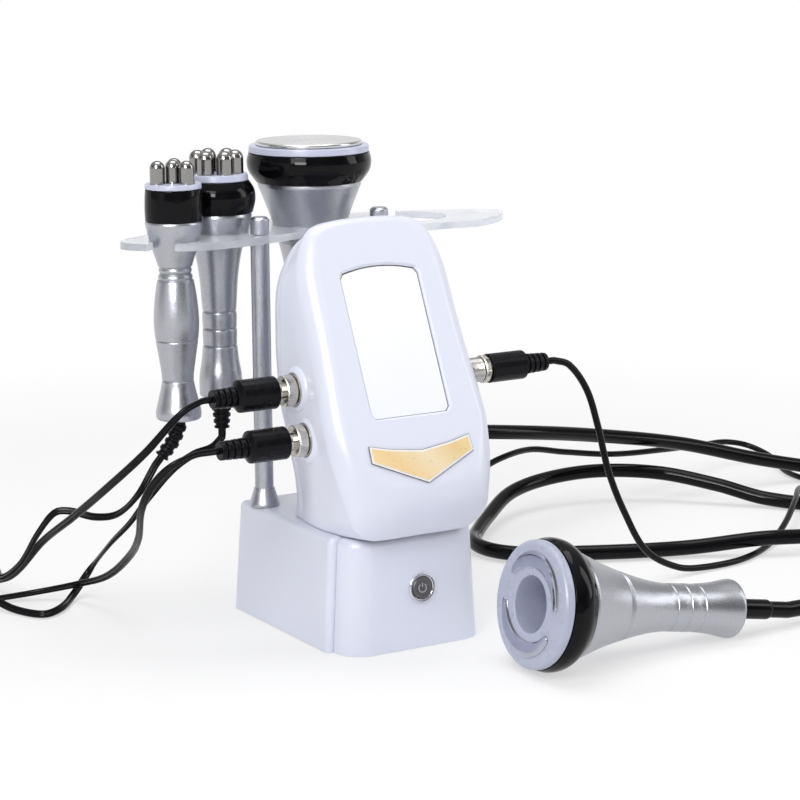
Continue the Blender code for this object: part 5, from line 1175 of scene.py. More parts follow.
def join_rows(builder, high, low, steps):
    """Faces between two rows of a turned piece, either of which may be a single point on the axis."""
    if len(high) == 1 and len(low) == 1:
        return
    for one, two in loop_pairs(steps):
        if len(high) == 1:
            builder.faces.new((high[0], low[one], low[two]))
        elif len(low) == 1:
            builder.faces.new((high[one], low[0], high[two]))
        else:
            builder.faces.new((high[one], low[one], low[two], high[two]))


def ring_solid(name, rings, matrix=None):
    """A closed solid through rings of places that have as many points each."""
    builder = bmesh.new()
    rows = add_rings(builder, rings)
    builder.faces.new(list(reversed(rows[0])))
    builder.faces.new(rows[-1])
    return add_object(name, builder, matrix)


def plate_piece(name, outline, low, high, matrix=None):
    """A flat piece of an outline's shape between two heights."""
    return ring_solid(name, [[(x, y, level) for x, y in outline] for level in (low, high)], matrix)


def side_axes(points):
    """For each point of a line: a level axis across it, carried on where the line stands upright, and
    the axis square to both."""
    places = np.array(points, float)
    ways = np.gradient(places, axis=0)
    ways /= np.linalg.norm(ways, axis=1)[:, None]
    across = np.cross(ways, (0.0, 0.0, 1.0))
    size = np.linalg.norm(across, axis=1)
    known = np.where(size > LEVEL_SHARE)[0]
    if len(known) == 0:
        across[:] = (1.0, 0.0, 0.0)
        known = np.arange(len(across))
    across = across[[known[np.argmin(np.abs(known - index))] for index in range(len(across))]]
    for index in range(1, len(across)):
        if across[index] @ across[index - 1] < 0:
            across[index] *= -1
    kernel = np.ones(SIDE_SMOOTHING) / SIDE_SMOOTHING
    more = SIDE_SMOOTHING // 2
    padded = np.vstack([across[:1]] * more + [across] + [across[-1:]] * more)
    across = np.column_stack([np.convolve(padded[:, axis], kernel, "valid") for axis in range(3)])
    across -= ways * np.sum(across * ways, axis=1)[:, None]
    across /= np.linalg.norm(across, axis=1)[:, None]
    return across, np.cross(ways, across)


def sweep(name, points, section):
    """A closed skin along a line; section(index) gives the outline there as (across, up) places."""
    across, up = side_axes(points)
    rings = [[np.array(point) + x * across[index] + y * up[index] for x, y in section(index)]
             for index, point in enumerate(points)]
    return ring_solid(name, rings)


def round_section(radius, steps=CORD_STEPS):
    """A round outline across a cord."""
    return [(radius * math.cos(2 * math.pi * step / steps), radius * math.sin(2 * math.pi * step / steps))
            for step in range(steps)]


def twin_section():
    """Two round leads side by side, joined in the middle."""
    half = [(TWIN_OFFSET + TWIN_LOBE * math.cos(angle), TWIN_LOBE * math.sin(angle))
            for angle in np.linspace(-TWIN_ARC, TWIN_ARC, TWIN_POINTS)]
    flat = half + [(-x, -y) for x, y in half]
    cosine = math.cos(TWIN_TURN)
    sine = math.sin(TWIN_TURN)
    return [(x * cosine - y * sine, x * sine + y * cosine) for x, y in flat]


# ---------------------------------------------------------------- base


def make_base():
    """The housing and its cover, with the seats and holes for what is set in them."""
    builder = standing_box(BASE_HALF_WIDTH, BASE_FRONT, BASE_BACK, BASE_HEIGHT)
    for corner in builder.verts:
        lean = BASE_DRAFT * corner.co.z / BASE_HEIGHT
        corner.co.x -= math.copysign(lean, corner.co.x)
        if corner.co.y > 0:
            corner.co.y -= lean
    delete_faces(builder, lambda face: face.normal.z < -FACING)
    housing = add_object("housing_shell", builder)
    add_bevel(housing, BASE_EDGE_RADIUS, BASE_BEVEL_STEPS)
    add_shell(housing, BASE_WALL)
    cut_away(housing, *rear_cutters(), table_cutter())
    dress(housing, "housing", "machine", ["base_housing"])
    make_cover()


def table_cutter():
    """Cuts the base level with the table."""
    return box_piece("table_cutter", (3 * BASE_HALF_WIDTH, 3 * BASE_BACK, 2 * OVERRUN), (0, 0, -OVERRUN))


def nozzle_matrix():
    """An axis that points out of the back wall at the nozzle."""
    spot = Matrix.Translation((NOZZLE_X, rear_seat(NOZZLE_Z), NOZZLE_Z))
    return spot @ Matrix.Rotation(math.radians(-90), 4, "X")


def rear_cutters():
    """Seats and holes for the power inlet and the hose nozzle."""
    seat = rear_seat(INLET_Z)
    width, deep, tall = INLET_SIZE
    spot_deep = REAR_SEAT_DEPTH + OVERRUN
    neck_width = width - 2 * INLET_FLANGE
    neck_tall = tall - 2 * INLET_FLANGE
    return [
        box_piece("inlet_seat", (width + GAP, spot_deep, tall + GAP),
                  (INLET_X, seat + spot_deep / 2, INLET_Z)),
        box_piece("inlet_hole", (neck_width + GAP, deep + OVERRUN, neck_tall + GAP),
                  (INLET_X, seat - deep / 2 + OVERRUN, INLET_Z)),
        drill("nozzle_seat", NOZZLE_FLANGE_RADIUS + GAP, spot_deep, 0, nozzle_matrix()),
        drill("nozzle_hole", NOZZLE_RADIUS + GAP, OVERRUN, -BASE_WALL - OVERRUN, nozzle_matrix()),
    ]


def make_cover():
    """The rounded front cover with the button's hole."""
    back = BASE_FRONT - COVER_SEAM
    builder = standing_box(COVER_HALF_WIDTH, COVER_FRONT, back, COVER_HEIGHT)
    uprights = [edge for edge in builder.edges
                if all(end.co.y < back - OVERRUN for end in edge.verts)
                and abs(edge.verts[0].co.z - edge.verts[1].co.z) > COVER_HEIGHT / 2]
    bmesh.ops.bevel(builder, geom=uprights, offset=COVER_CORNER_RADIUS, segments=CORNER_BEVEL_STEPS,
                    profile=0.5, affect="EDGES")
    for corner in builder.verts:
        lean = BASE_DRAFT * corner.co.z / COVER_HEIGHT
        corner.co.x -= lean * corner.co.x / COVER_HALF_WIDTH
        if corner.co.y < back - MERGE:
            corner.co.y += lean * (back - corner.co.y) / (back - COVER_FRONT)
    delete_faces(builder, lambda face: face.normal.z < -FACING or face.normal.y > FACING)
    cover = add_object("front_cover_shell", builder)
    add_bevel(cover, COVER_EDGE_RADIUS, BASE_BEVEL_STEPS, COVER_BEVEL_ANGLE)
    add_shell(cover, COVER_WALL)
    hole = drill("button_hole", BEZEL_TUBE_RADIUS + GAP, COVER_EDGE_RADIUS, -COVER_WALL - OVERRUN,
                 button_matrix())
    cut_away(cover, hole, table_cutter())
    dress(cover, "housing", "machine", ["base_front_cover"])


def button_matrix():
    """An axis that points out of the leaning front at the button."""
    lean = math.atan2(BASE_DRAFT, COVER_HEIGHT)
    front = COVER_FRONT + BASE_DRAFT * BUTTON_Z / COVER_HEIGHT
    turn = Matrix.Rotation(math.radians(90) - lean, 4, "X")
    return Matrix.Translation((BUTTON_X, front, BUTTON_Z)) @ turn


def make_button():
    """Chrome bezel and a dished cap with a raised power symbol."""
    rear = -BEZEL_TUBE_LENGTH
    lip = BEZEL_LIP + GAP
    bezel = [(BEZEL_BORE_RADIUS, lip - CAP_CHAMFER), (BEZEL_BORE_RADIUS + CAP_CHAMFER, lip),
             (BEZEL_RADIUS - CAP_CHAMFER, lip), (BEZEL_RADIUS, GAP), (BEZEL_TUBE_RADIUS, GAP),
             (BEZEL_TUBE_RADIUS, rear), (BEZEL_BORE_RADIUS, rear)]
    dress(turned("button_bezel_ring", bezel, button_matrix()), "chrome", "machine",
          ["button_bezel"])
    top = lip + CAP_PROUD
    low = top - CAP_THICKNESS
    radius = BEZEL_BORE_RADIUS - GAP
    cap = [(share * radius, top - deep * CAP_CHAMFER) for share, deep in CAP_DISH]
    cap += [(cap[-1][0] + CAP_CHAMFER, top), (radius - CAP_CHAMFER, top), (radius, top - CAP_CHAMFER),
            (radius, low), (0, low)]
    dress(turned("button_cap_dished", cap, button_matrix(), FINE_ROUND), "button", "power_button",
          ["button_cap"])
    make_symbol(top - SYMBOL_DEPTH_SHARE * CAP_CHAMFER)


def make_symbol(level):
    """The power symbol: an open ring with an upright bar in its gap."""
    half = SYMBOL_STROKE / 2
    turns = np.radians(np.linspace(*SYMBOL_ARC, SYMBOL_POINTS))
    arc = [(radius * math.cos(turn), radius * math.sin(turn))
           for radius, way in ((SYMBOL_RADIUS + half, turns), (SYMBOL_RADIUS - half, turns[::-1]))
           for turn in way]
    foot, tip = (SYMBOL_RADIUS * share for share in SYMBOL_BAR)
    bar = [(-half, foot), (half, foot), (half, tip), (-half, tip)]
    for name, outline in (("symbol_ring", arc), ("symbol_bar", bar)):
        mark = plate_piece(name, outline, level - SYMBOL_HEIGHT, level + SYMBOL_HEIGHT, button_matrix())
        dress(mark, "symbol", "power_button")


def make_inlet():
    """The power inlet with its pocket and three blades."""
    seat = rear_seat(INLET_Z)
    width, deep, tall = INLET_SIZE
    middle = seat + GAP + INLET_FLANGE / 2
    inlet = box_piece("inlet_socket", (width, INLET_FLANGE, tall), (INLET_X, middle, INLET_Z))
    add_bevel(inlet, EDGE_ROUND)
    neck = box_piece("inlet_neck", (width - 2 * INLET_FLANGE - GAP, deep, tall - 2 * INLET_FLANGE - GAP),
                     (INLET_X, middle - deep / 2, INLET_Z))
    join = inlet.modifiers.new("join", "BOOLEAN")
    join.object = neck
    join.operation = "UNION"
    bake(inlet)
    bpy.data.objects.remove(neck, do_unlink=True)
    pocket_width, pocket_deep, pocket_tall = INLET_POCKET
    pocket = box_piece("inlet_pocket", (pocket_width, 2 * pocket_deep, pocket_tall),
                       (INLET_X, seat + INLET_FLANGE, INLET_Z))
    add_bevel(pocket, 4 * EDGE_ROUND)
    cut_away(inlet, pocket)
    dress(inlet, "rubber", "machine", ["power_inlet"])
    floor = seat + INLET_FLANGE - pocket_deep
    for number, (across, up) in enumerate(PIN_SPOTS):
        blade = box_piece("inlet_blade_%d" % number, PIN_SIZE,
                          (INLET_X + across * pocket_width, floor + PIN_SIZE[1] / 2 - GAP,
                           INLET_Z + up * pocket_tall))
        add_bevel(blade, EDGE_ROUND)
        dress(blade, "nickel", "machine")


def make_nozzle():
    """The hose nozzle with a barbed end."""
    top = NOZZLE_FLANGE + GAP + NOZZLE_LENGTH
    bottom = -BASE_WALL - NOZZLE_FLANGE
    profile = [(NOZZLE_BORE, top), (NOZZLE_RADIUS - EDGE_ROUND, top)]
    for barb in range(1, BARBS + 1):
        low = top - barb * NOZZLE_LENGTH / (BARBS + 1)
        profile += [(NOZZLE_RADIUS, low), (NOZZLE_RADIUS - 2 * EDGE_ROUND, low - EDGE_ROUND)]
    flange = NOZZLE_FLANGE + GAP
    profile += [(NOZZLE_RADIUS - EDGE_ROUND, flange), (NOZZLE_FLANGE_RADIUS, flange),
                (NOZZLE_FLANGE_RADIUS, GAP), (NOZZLE_RADIUS, GAP), (NOZZLE_RADIUS, bottom),
                (NOZZLE_BORE, bottom)]
    dress(turned("nozzle_barbed", profile, nozzle_matrix(), FINE_ROUND), "grey_metal", "machine",
          ["hose_nozzle"])


# ---------------------------------------------------------------- head


def rear_rows(parting):
    """Rows from the parting plane over the domed back."""
    rows = [[Vector((spot.x, GAP, spot.z)) for spot in parting],
            [Vector((spot.x, GAP + REAR_LAND, spot.z)) for spot in parting]]
    for back, inset in spread([(0.0, 0.0)] + REAR_STEP_SHARES, REAR_STEPS)[1:]:
        row = []
        for spot in parting:
            keep = 1 - inset * REAR_INSET / PARTING_HALF_WIDTH
            rise = 1 - inset * REAR_INSET / (PARTING_TOP - REAR_CENTRE_Z)
            height = spot.z
            if height > REAR_CENTRE_Z:
                height = REAR_CENTRE_Z + (height - REAR_CENTRE_Z) * rise
            row.append(Vector((spot.x * keep, GAP + REAR_LAND + back * (REAR_DEPTH - REAR_LAND), height)))
        rows.append(row)
    return rows


def head_shell(name, rows, closed_end):
    """A mirrored, open-bottomed shell through half rows; one end row is closed by a flat face."""
    rings = [list(row) + [Vector((-spot.x, spot.y, spot.z)) for spot in reversed(row[1:-1])]
             for row in rows]
    builder = bmesh.new()
    built = add_rings(builder, rings)
    lid = builder.faces.new(built[closed_end])
    bmesh.ops.recalc_face_normals(builder, faces=builder.faces)
    middle = sum((face.calc_center_median() for face in builder.faces), Vector()) / len(builder.faces)
    if lid.normal.dot(lid.calc_center_median() - middle) < 0:
        bmesh.ops.reverse_faces(builder, faces=builder.faces)
    everything = builder.verts[:] + builder.edges[:] + builder.faces[:]
    bmesh.ops.bisect_plane(builder, geom=everything, plane_co=(0, 0, HEAD_BOTTOM),
                           plane_no=(0, 0, -1), clear_outer=True)
    shell = add_object(name, builder, turned_out=True)
    add_shell(shell, HEAD_WALL)
    return shell


def make_head():
    """The head's two shells, with the window's and the sockets' openings."""
    crease, rounding, depths, parting, bulges = head_outlines()
    front_rows = round_rows(crease, rounding, depths)
    front_rows += cheek_rows(front_rows[-1], parting, bulges)
    front = head_shell("head_front", front_rows, 0)
    steps = [(WINDOW_BEVEL + OVERRUN, -OVERRUN), (WINDOW_BEVEL, 0), (GAP, WINDOW_RECESS),
             (GAP, HEAD_WALL + OVERRUN)]
    cutters = [ring_solid("window_opening", face_rings(steps))]
    for name, plan in CONNECTORS.items():
        cutters.append(turned(name + "_opening", opening_profile(plan), side_matrix(plan), 0))
    cut_away(front, *cutters)
    dress(front, "housing", "machine", ["head_front_shell"], SHARP_FACE)
    rear = head_shell("head_rear", rear_rows(parting), -1)
    dress(rear, "housing", "machine", ["head_rear_shell"], SHARP_REAR)


def make_screen():
    """The blank screen window in its recess."""
    middle = (WINDOW_TOP + WINDOW_BOTTOM) / 2
    outline = [(x - WINDOW_GAP_RIGHT * (x > 0), s - WINDOW_GAP_TOP * (s > middle))
               for x, s in window_outline(0)]
    window = face_plate("screen_window", outline, WINDOW_RECESS, WINDOW_RECESS + WINDOW_THICKNESS)
    add_bevel(window, EDGE_ROUND / 2, 2)
    dress(window, "screen", "machine", ["display_window"])


def badge_outline(margin):
    """The badge's outline, drawn in by a margin all round, with its long edges gently bowed."""
    corners = [np.array((across * BADGE_HALF_WIDTH, BADGE_TOP + drop * (BADGE_BOTTOM - BADGE_TOP)))
               for across, drop in BADGE_SHARES]
    count = len(corners)
    outline = []
    for number, corner in enumerate(corners):
        before = corner - corners[number - 1]
        after = corners[(number + 1) % count] - corner
        before /= np.linalg.norm(before)
        after /= np.linalg.norm(after)
        inward = np.array((before[1], -before[0])) + np.array((after[1], -after[0]))
        if inward @ (np.mean(corners, axis=0) - corner) < 0:
            inward = -inward
        inward /= np.linalg.norm(inward)
        shrink = margin / max(MITRE_SHARE, math.sqrt((1 + before @ after) / 2))
        outline.append(corner + inward * shrink)
    return outline


def make_badge():
    """Dark-edged plate with a white border and a gold field; its lettering is left off."""
    top = -GAP - BADGE_THICKNESS
    layers = [("badge_base", 0.0, -GAP, top, "badge_line", ["badge_plate"]),
              ("badge_border", BORDER_MARGIN, top + GAP, top - INLAY_HEIGHT / 2, "badge_white", []),
              ("badge_field", INLAY_MARGIN, top + GAP, top - INLAY_HEIGHT, "gold", [])]
    for name, margin, low, high, look, nodes in layers:
        layer = face_plate(name, badge_outline(margin), low, high)
        add_bevel(layer, EDGE_ROUND / 6, 2)
        dress(layer, look, "machine", nodes, SHARP_BADGE)


def upright_matrix(plan):
    """An upright axis at a plan's place."""
    return Matrix.Translation((plan["x"], plan["y"], 0))


def side_matrix(plan):
    """An axis that points out of the head's side, its zero at the side's widest place."""
    turn = Matrix.Rotation(math.radians(90 * plan["side"]), 4, "Y")
    return Matrix.Translation((plan["side"] * ROUND_HALF_WIDTH, plan["y"], plan["z"])) @ turn


def threaded(profile):
    """Puts screw ridges on the straight threaded part of a socket's profile."""
    line = []
    for corner, following in zip(profile, profile[1:] + profile[:1]):
        line.append(corner)
        if corner[0] == THREAD_RADIUS and following[0] == THREAD_RADIUS:
            height = corner[1] - THREAD_PITCH
            while height > following[1] + THREAD_PITCH:
                line.append((THREAD_RADIUS, height))
                line.append((THREAD_RADIUS - THREAD_PITCH / 2, height - THREAD_PITCH / 2))
                height -= THREAD_PITCH
    return line


def make_connectors():
    """Sockets, knurled coupling nuts and fluted plugs."""
    for name, plan in CONNECTORS.items():
        matrix = side_matrix(plan)
        with_thread = plan["nut_start"] > THREAD_END
        profile = socket_profile(plan, with_thread)
        if with_thread:
            profile = threaded(profile)
        dress(turned(name + "_socket_metal", profile, matrix, FINE_ROUND), "nickel", "machine",
              [name + "_socket"], SHARP_TURNED)
        make_nut(name, plan, matrix)
        if not with_thread:
            dress(turned(name + "_socket_boss", BOSS_PROFILE, matrix, 2 * EDGE_ROUND), "housing",
                  "machine")
        flutes = (PLUG_FLUTES, PLUG_FLUTE_DEPTH, plan["neck_end"] + 2 * EDGE_ROUND,
                  plan["body_end"] - PLUG_SHOULDER, plan["body_radius"] / 2)
        plug = turned(name + "_plug_moulded", plug_profile(plan), matrix, EDGE_ROUND, 4 * PLUG_FLUTES,
                      flutes)
        dress(plug, "rubber", "machine", [name + "_plug"], SHARP_TURNED)


def make_nut(name, plan, matrix):
    """A knurled coupling nut with its plain neck."""
    bore = STUB_RADIUS + NUT_CLEARANCE
    neck_bore = plan["neck_radius"] - NECK_WALL
    stub_end = plan["stub"] + GAP
    edge = 2 * EDGE_ROUND
    rim = plan["nut_radius"] - edge
    nut = [(neck_bore, plan["neck_end"]), (plan["neck_radius"], plan["neck_end"]),
           (plan["neck_radius"], plan["nut_end"]), (rim, plan["nut_end"]),
           (plan["nut_radius"], plan["nut_end"] - edge), (plan["nut_radius"], plan["nut_start"] + edge),
           (rim, plan["nut_start"]), (bore, plan["nut_start"]), (bore, stub_end), (neck_bore, stub_end)]
    grip = (KNURL_COUNT, KNURL_DEPTH, plan["nut_start"] + edge / 2, plan["nut_end"] - edge / 2,
            KNURL_LEAST_SHARE * plan["nut_radius"])
    thing = turned(name + "_nut_knurled", nut, matrix, FINE_ROUND, 4 * KNURL_COUNT, grip)
    dress(thing, "nickel", name + "_nut", [name + "_coupling_nut"], SHARP_TURNED)


# ---------------------------------------------------------------- posts and tray


def make_posts():
    """The two posts with their feet and caps."""
    tray_bottom = TRAY_TOP - TRAY_THICKNESS
    top = tray_bottom - GAP
    foot = HEAD_BOTTOM
    stud_top = TRAY_TOP + GAP + STUD_LENGTH / 2
    low = TRAY_TOP + GAP
    high = low + CAP_HEIGHT
    hollow = STUD_RADIUS + GAP
    for side, label in ((-1, "left"), (1, "right")):
        matrix = Matrix.Translation((side * POST_X, POST_Y, 0))
        post = [(0, stud_top), (STUD_RADIUS, stud_top), (STUD_RADIUS, top), (POST_RADIUS, top),
                (POST_RADIUS, foot + POST_FOOT_HEIGHT), (POST_FOOT_NECK, foot + POST_FOOT_HEIGHT),
                (POST_FOOT_RADIUS, foot + CAP_EDGE), (POST_FOOT_RADIUS, foot), (0, foot)]
        dress(turned("post_" + label, post, matrix), "post", "machine", ["tray_post_" + label])
        cap = [(0, high), (POST_RADIUS - CAP_EDGE, high), (POST_RADIUS, high - CAP_EDGE),
               (POST_RADIUS, low), (hollow, low), (hollow, stud_top + GAP), (0, stud_top + GAP)]
        dress(turned("cap_" + label, cap, matrix), "post", "machine", ["post_cap_" + label])


def make_tray():
    """The clear tray with its holes, slots and softened edges."""
    left = HANDPIECES["small"]["x"] - TRAY_LEFT_ROOM
    right = HANDPIECES["vacuum"]["x"] + TRAY_RIGHT_ROOM
    half = [(across * (right - left) / 2, TRAY_MIDDLE + along * TRAY_DEPTH)
            for across, along in spread(TRAY_SHARES, TRAY_OUTLINE_STEPS)]
    half[0] = (0, half[0][1])
    half[-1] = (0, half[-1][1])
    bottom = TRAY_TOP - TRAY_THICKNESS
    outline = [(across + (left + right) / 2, along) for across, along in mirror_outline(half)]
    tray = plate_piece("clear_tray", outline, bottom, TRAY_TOP)
    high = TRAY_TOP + OVERRUN
    low = bottom - OVERRUN
    cutters = []
    for name, plan in HANDPIECES.items():
        seat = upright_matrix(plan) @ Matrix.Rotation(math.radians(plan["slot_turn"]), 4, "Z")
        cutters.append(drill(name + "_hole", hole_radius(name), high, low, seat))
        cutters.append(box_piece(name + "_slot",
                                 (SLOT_REACH, 2 * SLOT_HALF_WIDTH, TRAY_THICKNESS + 2 * OVERRUN),
                                 (SLOT_REACH / 2, 0, TRAY_TOP - TRAY_THICKNESS / 2), seat))
    for side in (-1, 1):
        cutters.append(drill("stud_hole", STUD_RADIUS + GAP, high, low,
                             Matrix.Translation((side * POST_X, POST_Y, 0)), STUD_STEPS))
    cut_away(tray, *cutters)
    add_bevel(tray, EDGE_ROUND, 2)
    dress(tray, "acrylic", "machine", ["holder_tray"])


# ---------------------------------------------------------------- handpieces


def fine_handle(name):
    """The handle's outer profile as a smooth line with its thin grooves, from the top down."""
    line = smooth_points(handle_profile(name, EVEN_GRIPS), HANDLE_SAMPLES)
    heights = list(line[:, 1])
    for groove, deep, wide in HANDLE_GROOVES[name]:
        heights += [groove + wide * step for step in GROOVE_STEPS]
    heights = sorted(set(heights), reverse=True)
    radii = np.interp(heights, line[::-1, 1], line[::-1, 0])
    for groove, deep, wide in HANDLE_GROOVES[name]:
        radii -= deep * np.exp(-((np.array(heights) - groove) / (GROOVE_SPREAD * wide)) ** 2)
    return [(float(radius), float(height)) for radius, height in zip(radii, heights)]


def closed_handle(name, top_bore=0.0, pocket=None):
    """The handle's profile with softened end corners, and a bore where the cup goes in."""
    plan = HANDPIECES[name]
    outer = fine_handle(name)
    edge = 2 * EDGE_ROUND
    start = [(top_bore, plan["top"]), (outer[0][0] - edge, plan["top"])]
    outer = [corner for corner in outer if plan["bottom"] + edge < corner[1] < plan["top"] - edge]
    stop = [(outer[-1][0] - edge, plan["bottom"]), (0, plan["bottom"])]
    if pocket is not None:
        stop += [(0, pocket), (top_bore, pocket)]
    return start + outer + stop


def make_domes(name, plan, low, high, matrix):
    """The steel domes, and the cutters of their holes in the ring."""
    radius = plan["radius"]
    crown = high + plan["height"]
    shoulder = crown - radius
    arc = [(radius * math.cos(angle), shoulder + radius * math.sin(angle))
           for angle in np.linspace(math.pi / 2, 0, DOME_ARC_POINTS)]
    dome = [(0, crown)] + arc[1:] + [(radius, low), (0, low)]
    holes = []
    for number, (across, along) in enumerate(dome_places(plan)):
        spot = matrix @ Matrix.Translation((across, along, 0))
        thing = turned("%s_dome_%d" % (name, number), dome, spot, 0, DOME_STEPS)
        dress(thing, "steel", name + "_handpiece", [name + "_electrodes"], SHARP_SOFT)
        holes.append(drill("dome_hole", radius + GAP, high + OVERRUN, low, spot, DOME_STEPS))
    return holes


def make_relief(name, plan, handpiece):
    """A tapering, ribbed strain relief; gives back its end and the way it points."""
    coarse = relief_points(plan, handpiece["x"], handpiece["y"], handpiece["bottom"] - GAP)
    points = smooth_points(coarse, RELIEF_SAMPLES * RELIEF_RIBS + 1)

    def section(index):
        """The relief's outline at a place along it."""
        share = index / (len(points) - 1)
        radius = plan["radius"] + share * (plan["tip"] + RELIEF_FULLNESS - plan["radius"])
        wave = 0.5 - 0.5 * math.cos(2 * math.pi * RELIEF_RIBS * share)
        deep = min(1, max(0, RELIEF_STEEPNESS * wave - RELIEF_LEVEL))
        return round_section(radius - RELIEF_GROOVE * deep, RELIEF_STEPS)

    dress(sweep(name + "_strain_relief_ribbed", points, section), "rubber", name + "_handpiece",
          [name + "_strain_relief"], SHARP_SOFT)
    heading = coarse[-1] - coarse[-2]
    return coarse[-1], heading / np.linalg.norm(heading)


def make_upright(name, domes, relief):
    """A handpiece that stands in the tray."""
    plan = HANDPIECES[name]
    body = name + "_handpiece"
    matrix = upright_matrix(plan)
    dress(turned(name + "_handle_turned", closed_handle(name), matrix, 0), "silver", body,
          [name + "_handle"], SHARP_TURNED)
    band = smooth_band(name, 0)
    dress(turned(name + "_band_gloss", band, matrix, BAND_ROUND), "gloss_black", body,
          [name + "_band"], SHARP_TURNED)
    ring = RINGS[name]
    low = plan["top"] + BANDS[name]["height"] + GAP
    high = low + ring["height"]
    collar = turned(name + "_ring_pale", [(0, high), (ring["high"], high), (ring["low"], low), (0, low)],
                    matrix, RING_ROUND)
    if domes is not None:
        cut_away(collar, *make_domes(name, domes, low, high, matrix))
    else:
        base = high + GAP
        disc = [(0, base + DISC_THICKNESS), (DISC_RADIUS - DISC_EDGE, base + DISC_THICKNESS),
                (DISC_RADIUS, base + DISC_THICKNESS - DISC_EDGE), (DISC_RADIUS, base), (0, base)]
        dress(turned(name + "_disc_turned", disc, matrix), "disc", body, [name + "_disc"])
    dress(collar, "pale_ring", body, [name + "_insulator_ring"])
    return make_relief(name, relief, plan)


def smooth_band(name, bore):
    """The band's profile with a smooth outside."""
    profile = band_profile(name, bore)
    outside = [tuple(corner) for corner in smooth_points(profile[1:-1], BAND_SAMPLES)]
    return [profile[0]] + outside + [profile[-1]]


def make_vacuum():
    """The large handpiece on the table, with its cup and mirror electrodes."""
    matrix = vacuum_frame()
    body = "vacuum_handpiece"
    plan = HANDPIECES["vacuum"]
    rim_top = vacuum_face_height()
    rim_low = rim_top - CUP_RIM_HEIGHT + GAP
    tube = CUP_BORE_RADIUS + CUP_WALL
    floor = rim_top - CUP_DEPTH
    cup = [(CUP_BORE_RADIUS, rim_top), (CUP_RIM_RADIUS - CUP_RIM_EDGE, rim_top),
           (CUP_RIM_RADIUS, rim_top - CUP_RIM_EDGE), (CUP_RIM_RADIUS, rim_low), (tube, rim_low),
           (tube, floor - CUP_WALL), (0, floor - CUP_WALL), (0, floor), (CUP_BORE_RADIUS, floor)]
    dress(turned("vacuum_cup_pale", cup, matrix, CUP_ROUND), "cup", body, ["vacuum_cup"])
    dress(turned("vacuum_band_gloss", smooth_band("vacuum", tube + GAP), matrix, BAND_ROUND), "gloss_black",
          body, ["vacuum_band"], SHARP_TURNED)
    pocket = floor - CUP_WALL - GAP
    dress(turned("vacuum_handle_turned", closed_handle("vacuum", tube + GAP, pocket), matrix, 0),
          "silver", body, ["vacuum_handle"], SHARP_TURNED)
    for side, label in ((1, "upper"), (-1, "lower")):
        strip = crescent_piece("electrode_" + label, side, rim_top + GAP, matrix)
        dress(strip, "electrode", body, ["vacuum_electrode_" + label])
    top = plan["bottom"] - GAP
    low = top - SLEEVE_LENGTH
    sleeve = [(0, top), (SLEEVE_RADIUS, top), (SLEEVE_RADIUS, low + SLEEVE_RIM),
              (SLEEVE_RADIUS - SLEEVE_RIM / 2, low), (0, low)]
    dress(turned("hose_sleeve_gloss", sleeve, matrix, SLEEVE_ROUND), "gloss_black", body,
          ["vacuum_hose_sleeve"])
    return np.array(matrix @ Vector((0, 0, low))), -np.array(matrix.to_3x3().col[2])


def crescent_piece(name, side, floor, matrix):
    """A mirror strip whose top is domed across its width."""
    rings = []
    for far, near in crescent(side):
        ring = []
        for share in CRESCENT_SHARES:
            rise = min(1, CRESCENT_STEEPNESS * math.sin(math.pi * share)) ** CRESCENT_FULLNESS
            level = floor + CRESCENT_THICKNESS * (CRESCENT_EDGE_SHARE + (1 - CRESCENT_EDGE_SHARE) * rise)
            ring.append((*(far + (near - far) * share), level))
        rings.append(ring + [(*near, floor), (*far, floor)])
    return ring_solid(name, rings, matrix)


# ---------------------------------------------------------------- cords


def cord_line(start, route, finish, radius):
    """The centre line of a cord from one end face to another through its route."""
    first = lead_in(*start, radius)
    last = lead_in(*finish, radius)[::-1]
    knots = first[1:] + list(route) + last[:-1]
    length = route_length(smooth_points(knots, ROUTE_SAMPLES * len(knots)))
    return [first[0], *smooth_points(knots, int(length / CORD_SPACING) + 1), last[-1]]


def add_cord(name, points, section, look, slot, nodes, diameter, follow=None, **facts):
    """A cord's skin along its line, moving with the machine; one given a handpiece to follow is put on no
    body.
    """
    cord = sweep(name, points, section)
    dress(cord, look, None if follow else "machine", nodes, SHARP_SOFT)
    if follow:
        cord.modifiers.clear()
        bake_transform(cord)
    return cord


def make_tie(name, plan):
    """A strap round a coil's turns."""
    angle = math.radians(TIE_ANGLES[name])
    turns = (plan["turn"] * (angle - math.radians(plan["first"])) / (2 * math.pi)) % 1
    top_turn = turns + int(COIL_TURNS - turns)
    reach = LIMP_RADIUS + TIE_CLEARANCE
    low = COIL_LIFT + LIMP_RADIUS + COIL_PITCH * turns
    high = COIL_LIFT + LIMP_RADIUS + COIL_PITCH * top_turn
    rings = []
    for step in range(TIE_STEPS):
        way = 2 * math.pi * step / TIE_STEPS
        middle = high if math.sin(way) > 0 else low
        spot = np.array((math.cos(way), math.sin(way)))
        corners = []
        for out, across in ((0, -1), (0, 1), (1, 1), (1, -1)):
            size = reach + out * TIE_THICKNESS
            corners.append((size * spot[0], across * TIE_WIDTH / 2, middle + size * spot[1]))
        rings.append(corners)
    builder = bmesh.new()
    rows = [[builder.verts.new(corner) for corner in ring] for ring in rings]
    for one, two in loop_pairs(TIE_STEPS):
        for first, second in loop_pairs(4):
            builder.faces.new((rows[one][first], rows[one][second], rows[two][second], rows[two][first]))
    matrix = (upright_matrix(plan) @ Matrix.Rotation(angle, 4, "Z")
              @ Matrix.Translation((COIL_RADIUS, 0, 0)))
    tie = add_object(name + "_tie_strap", builder, matrix)
    return dress(tie, "rubber", "machine", [name + "_coil_tie"])


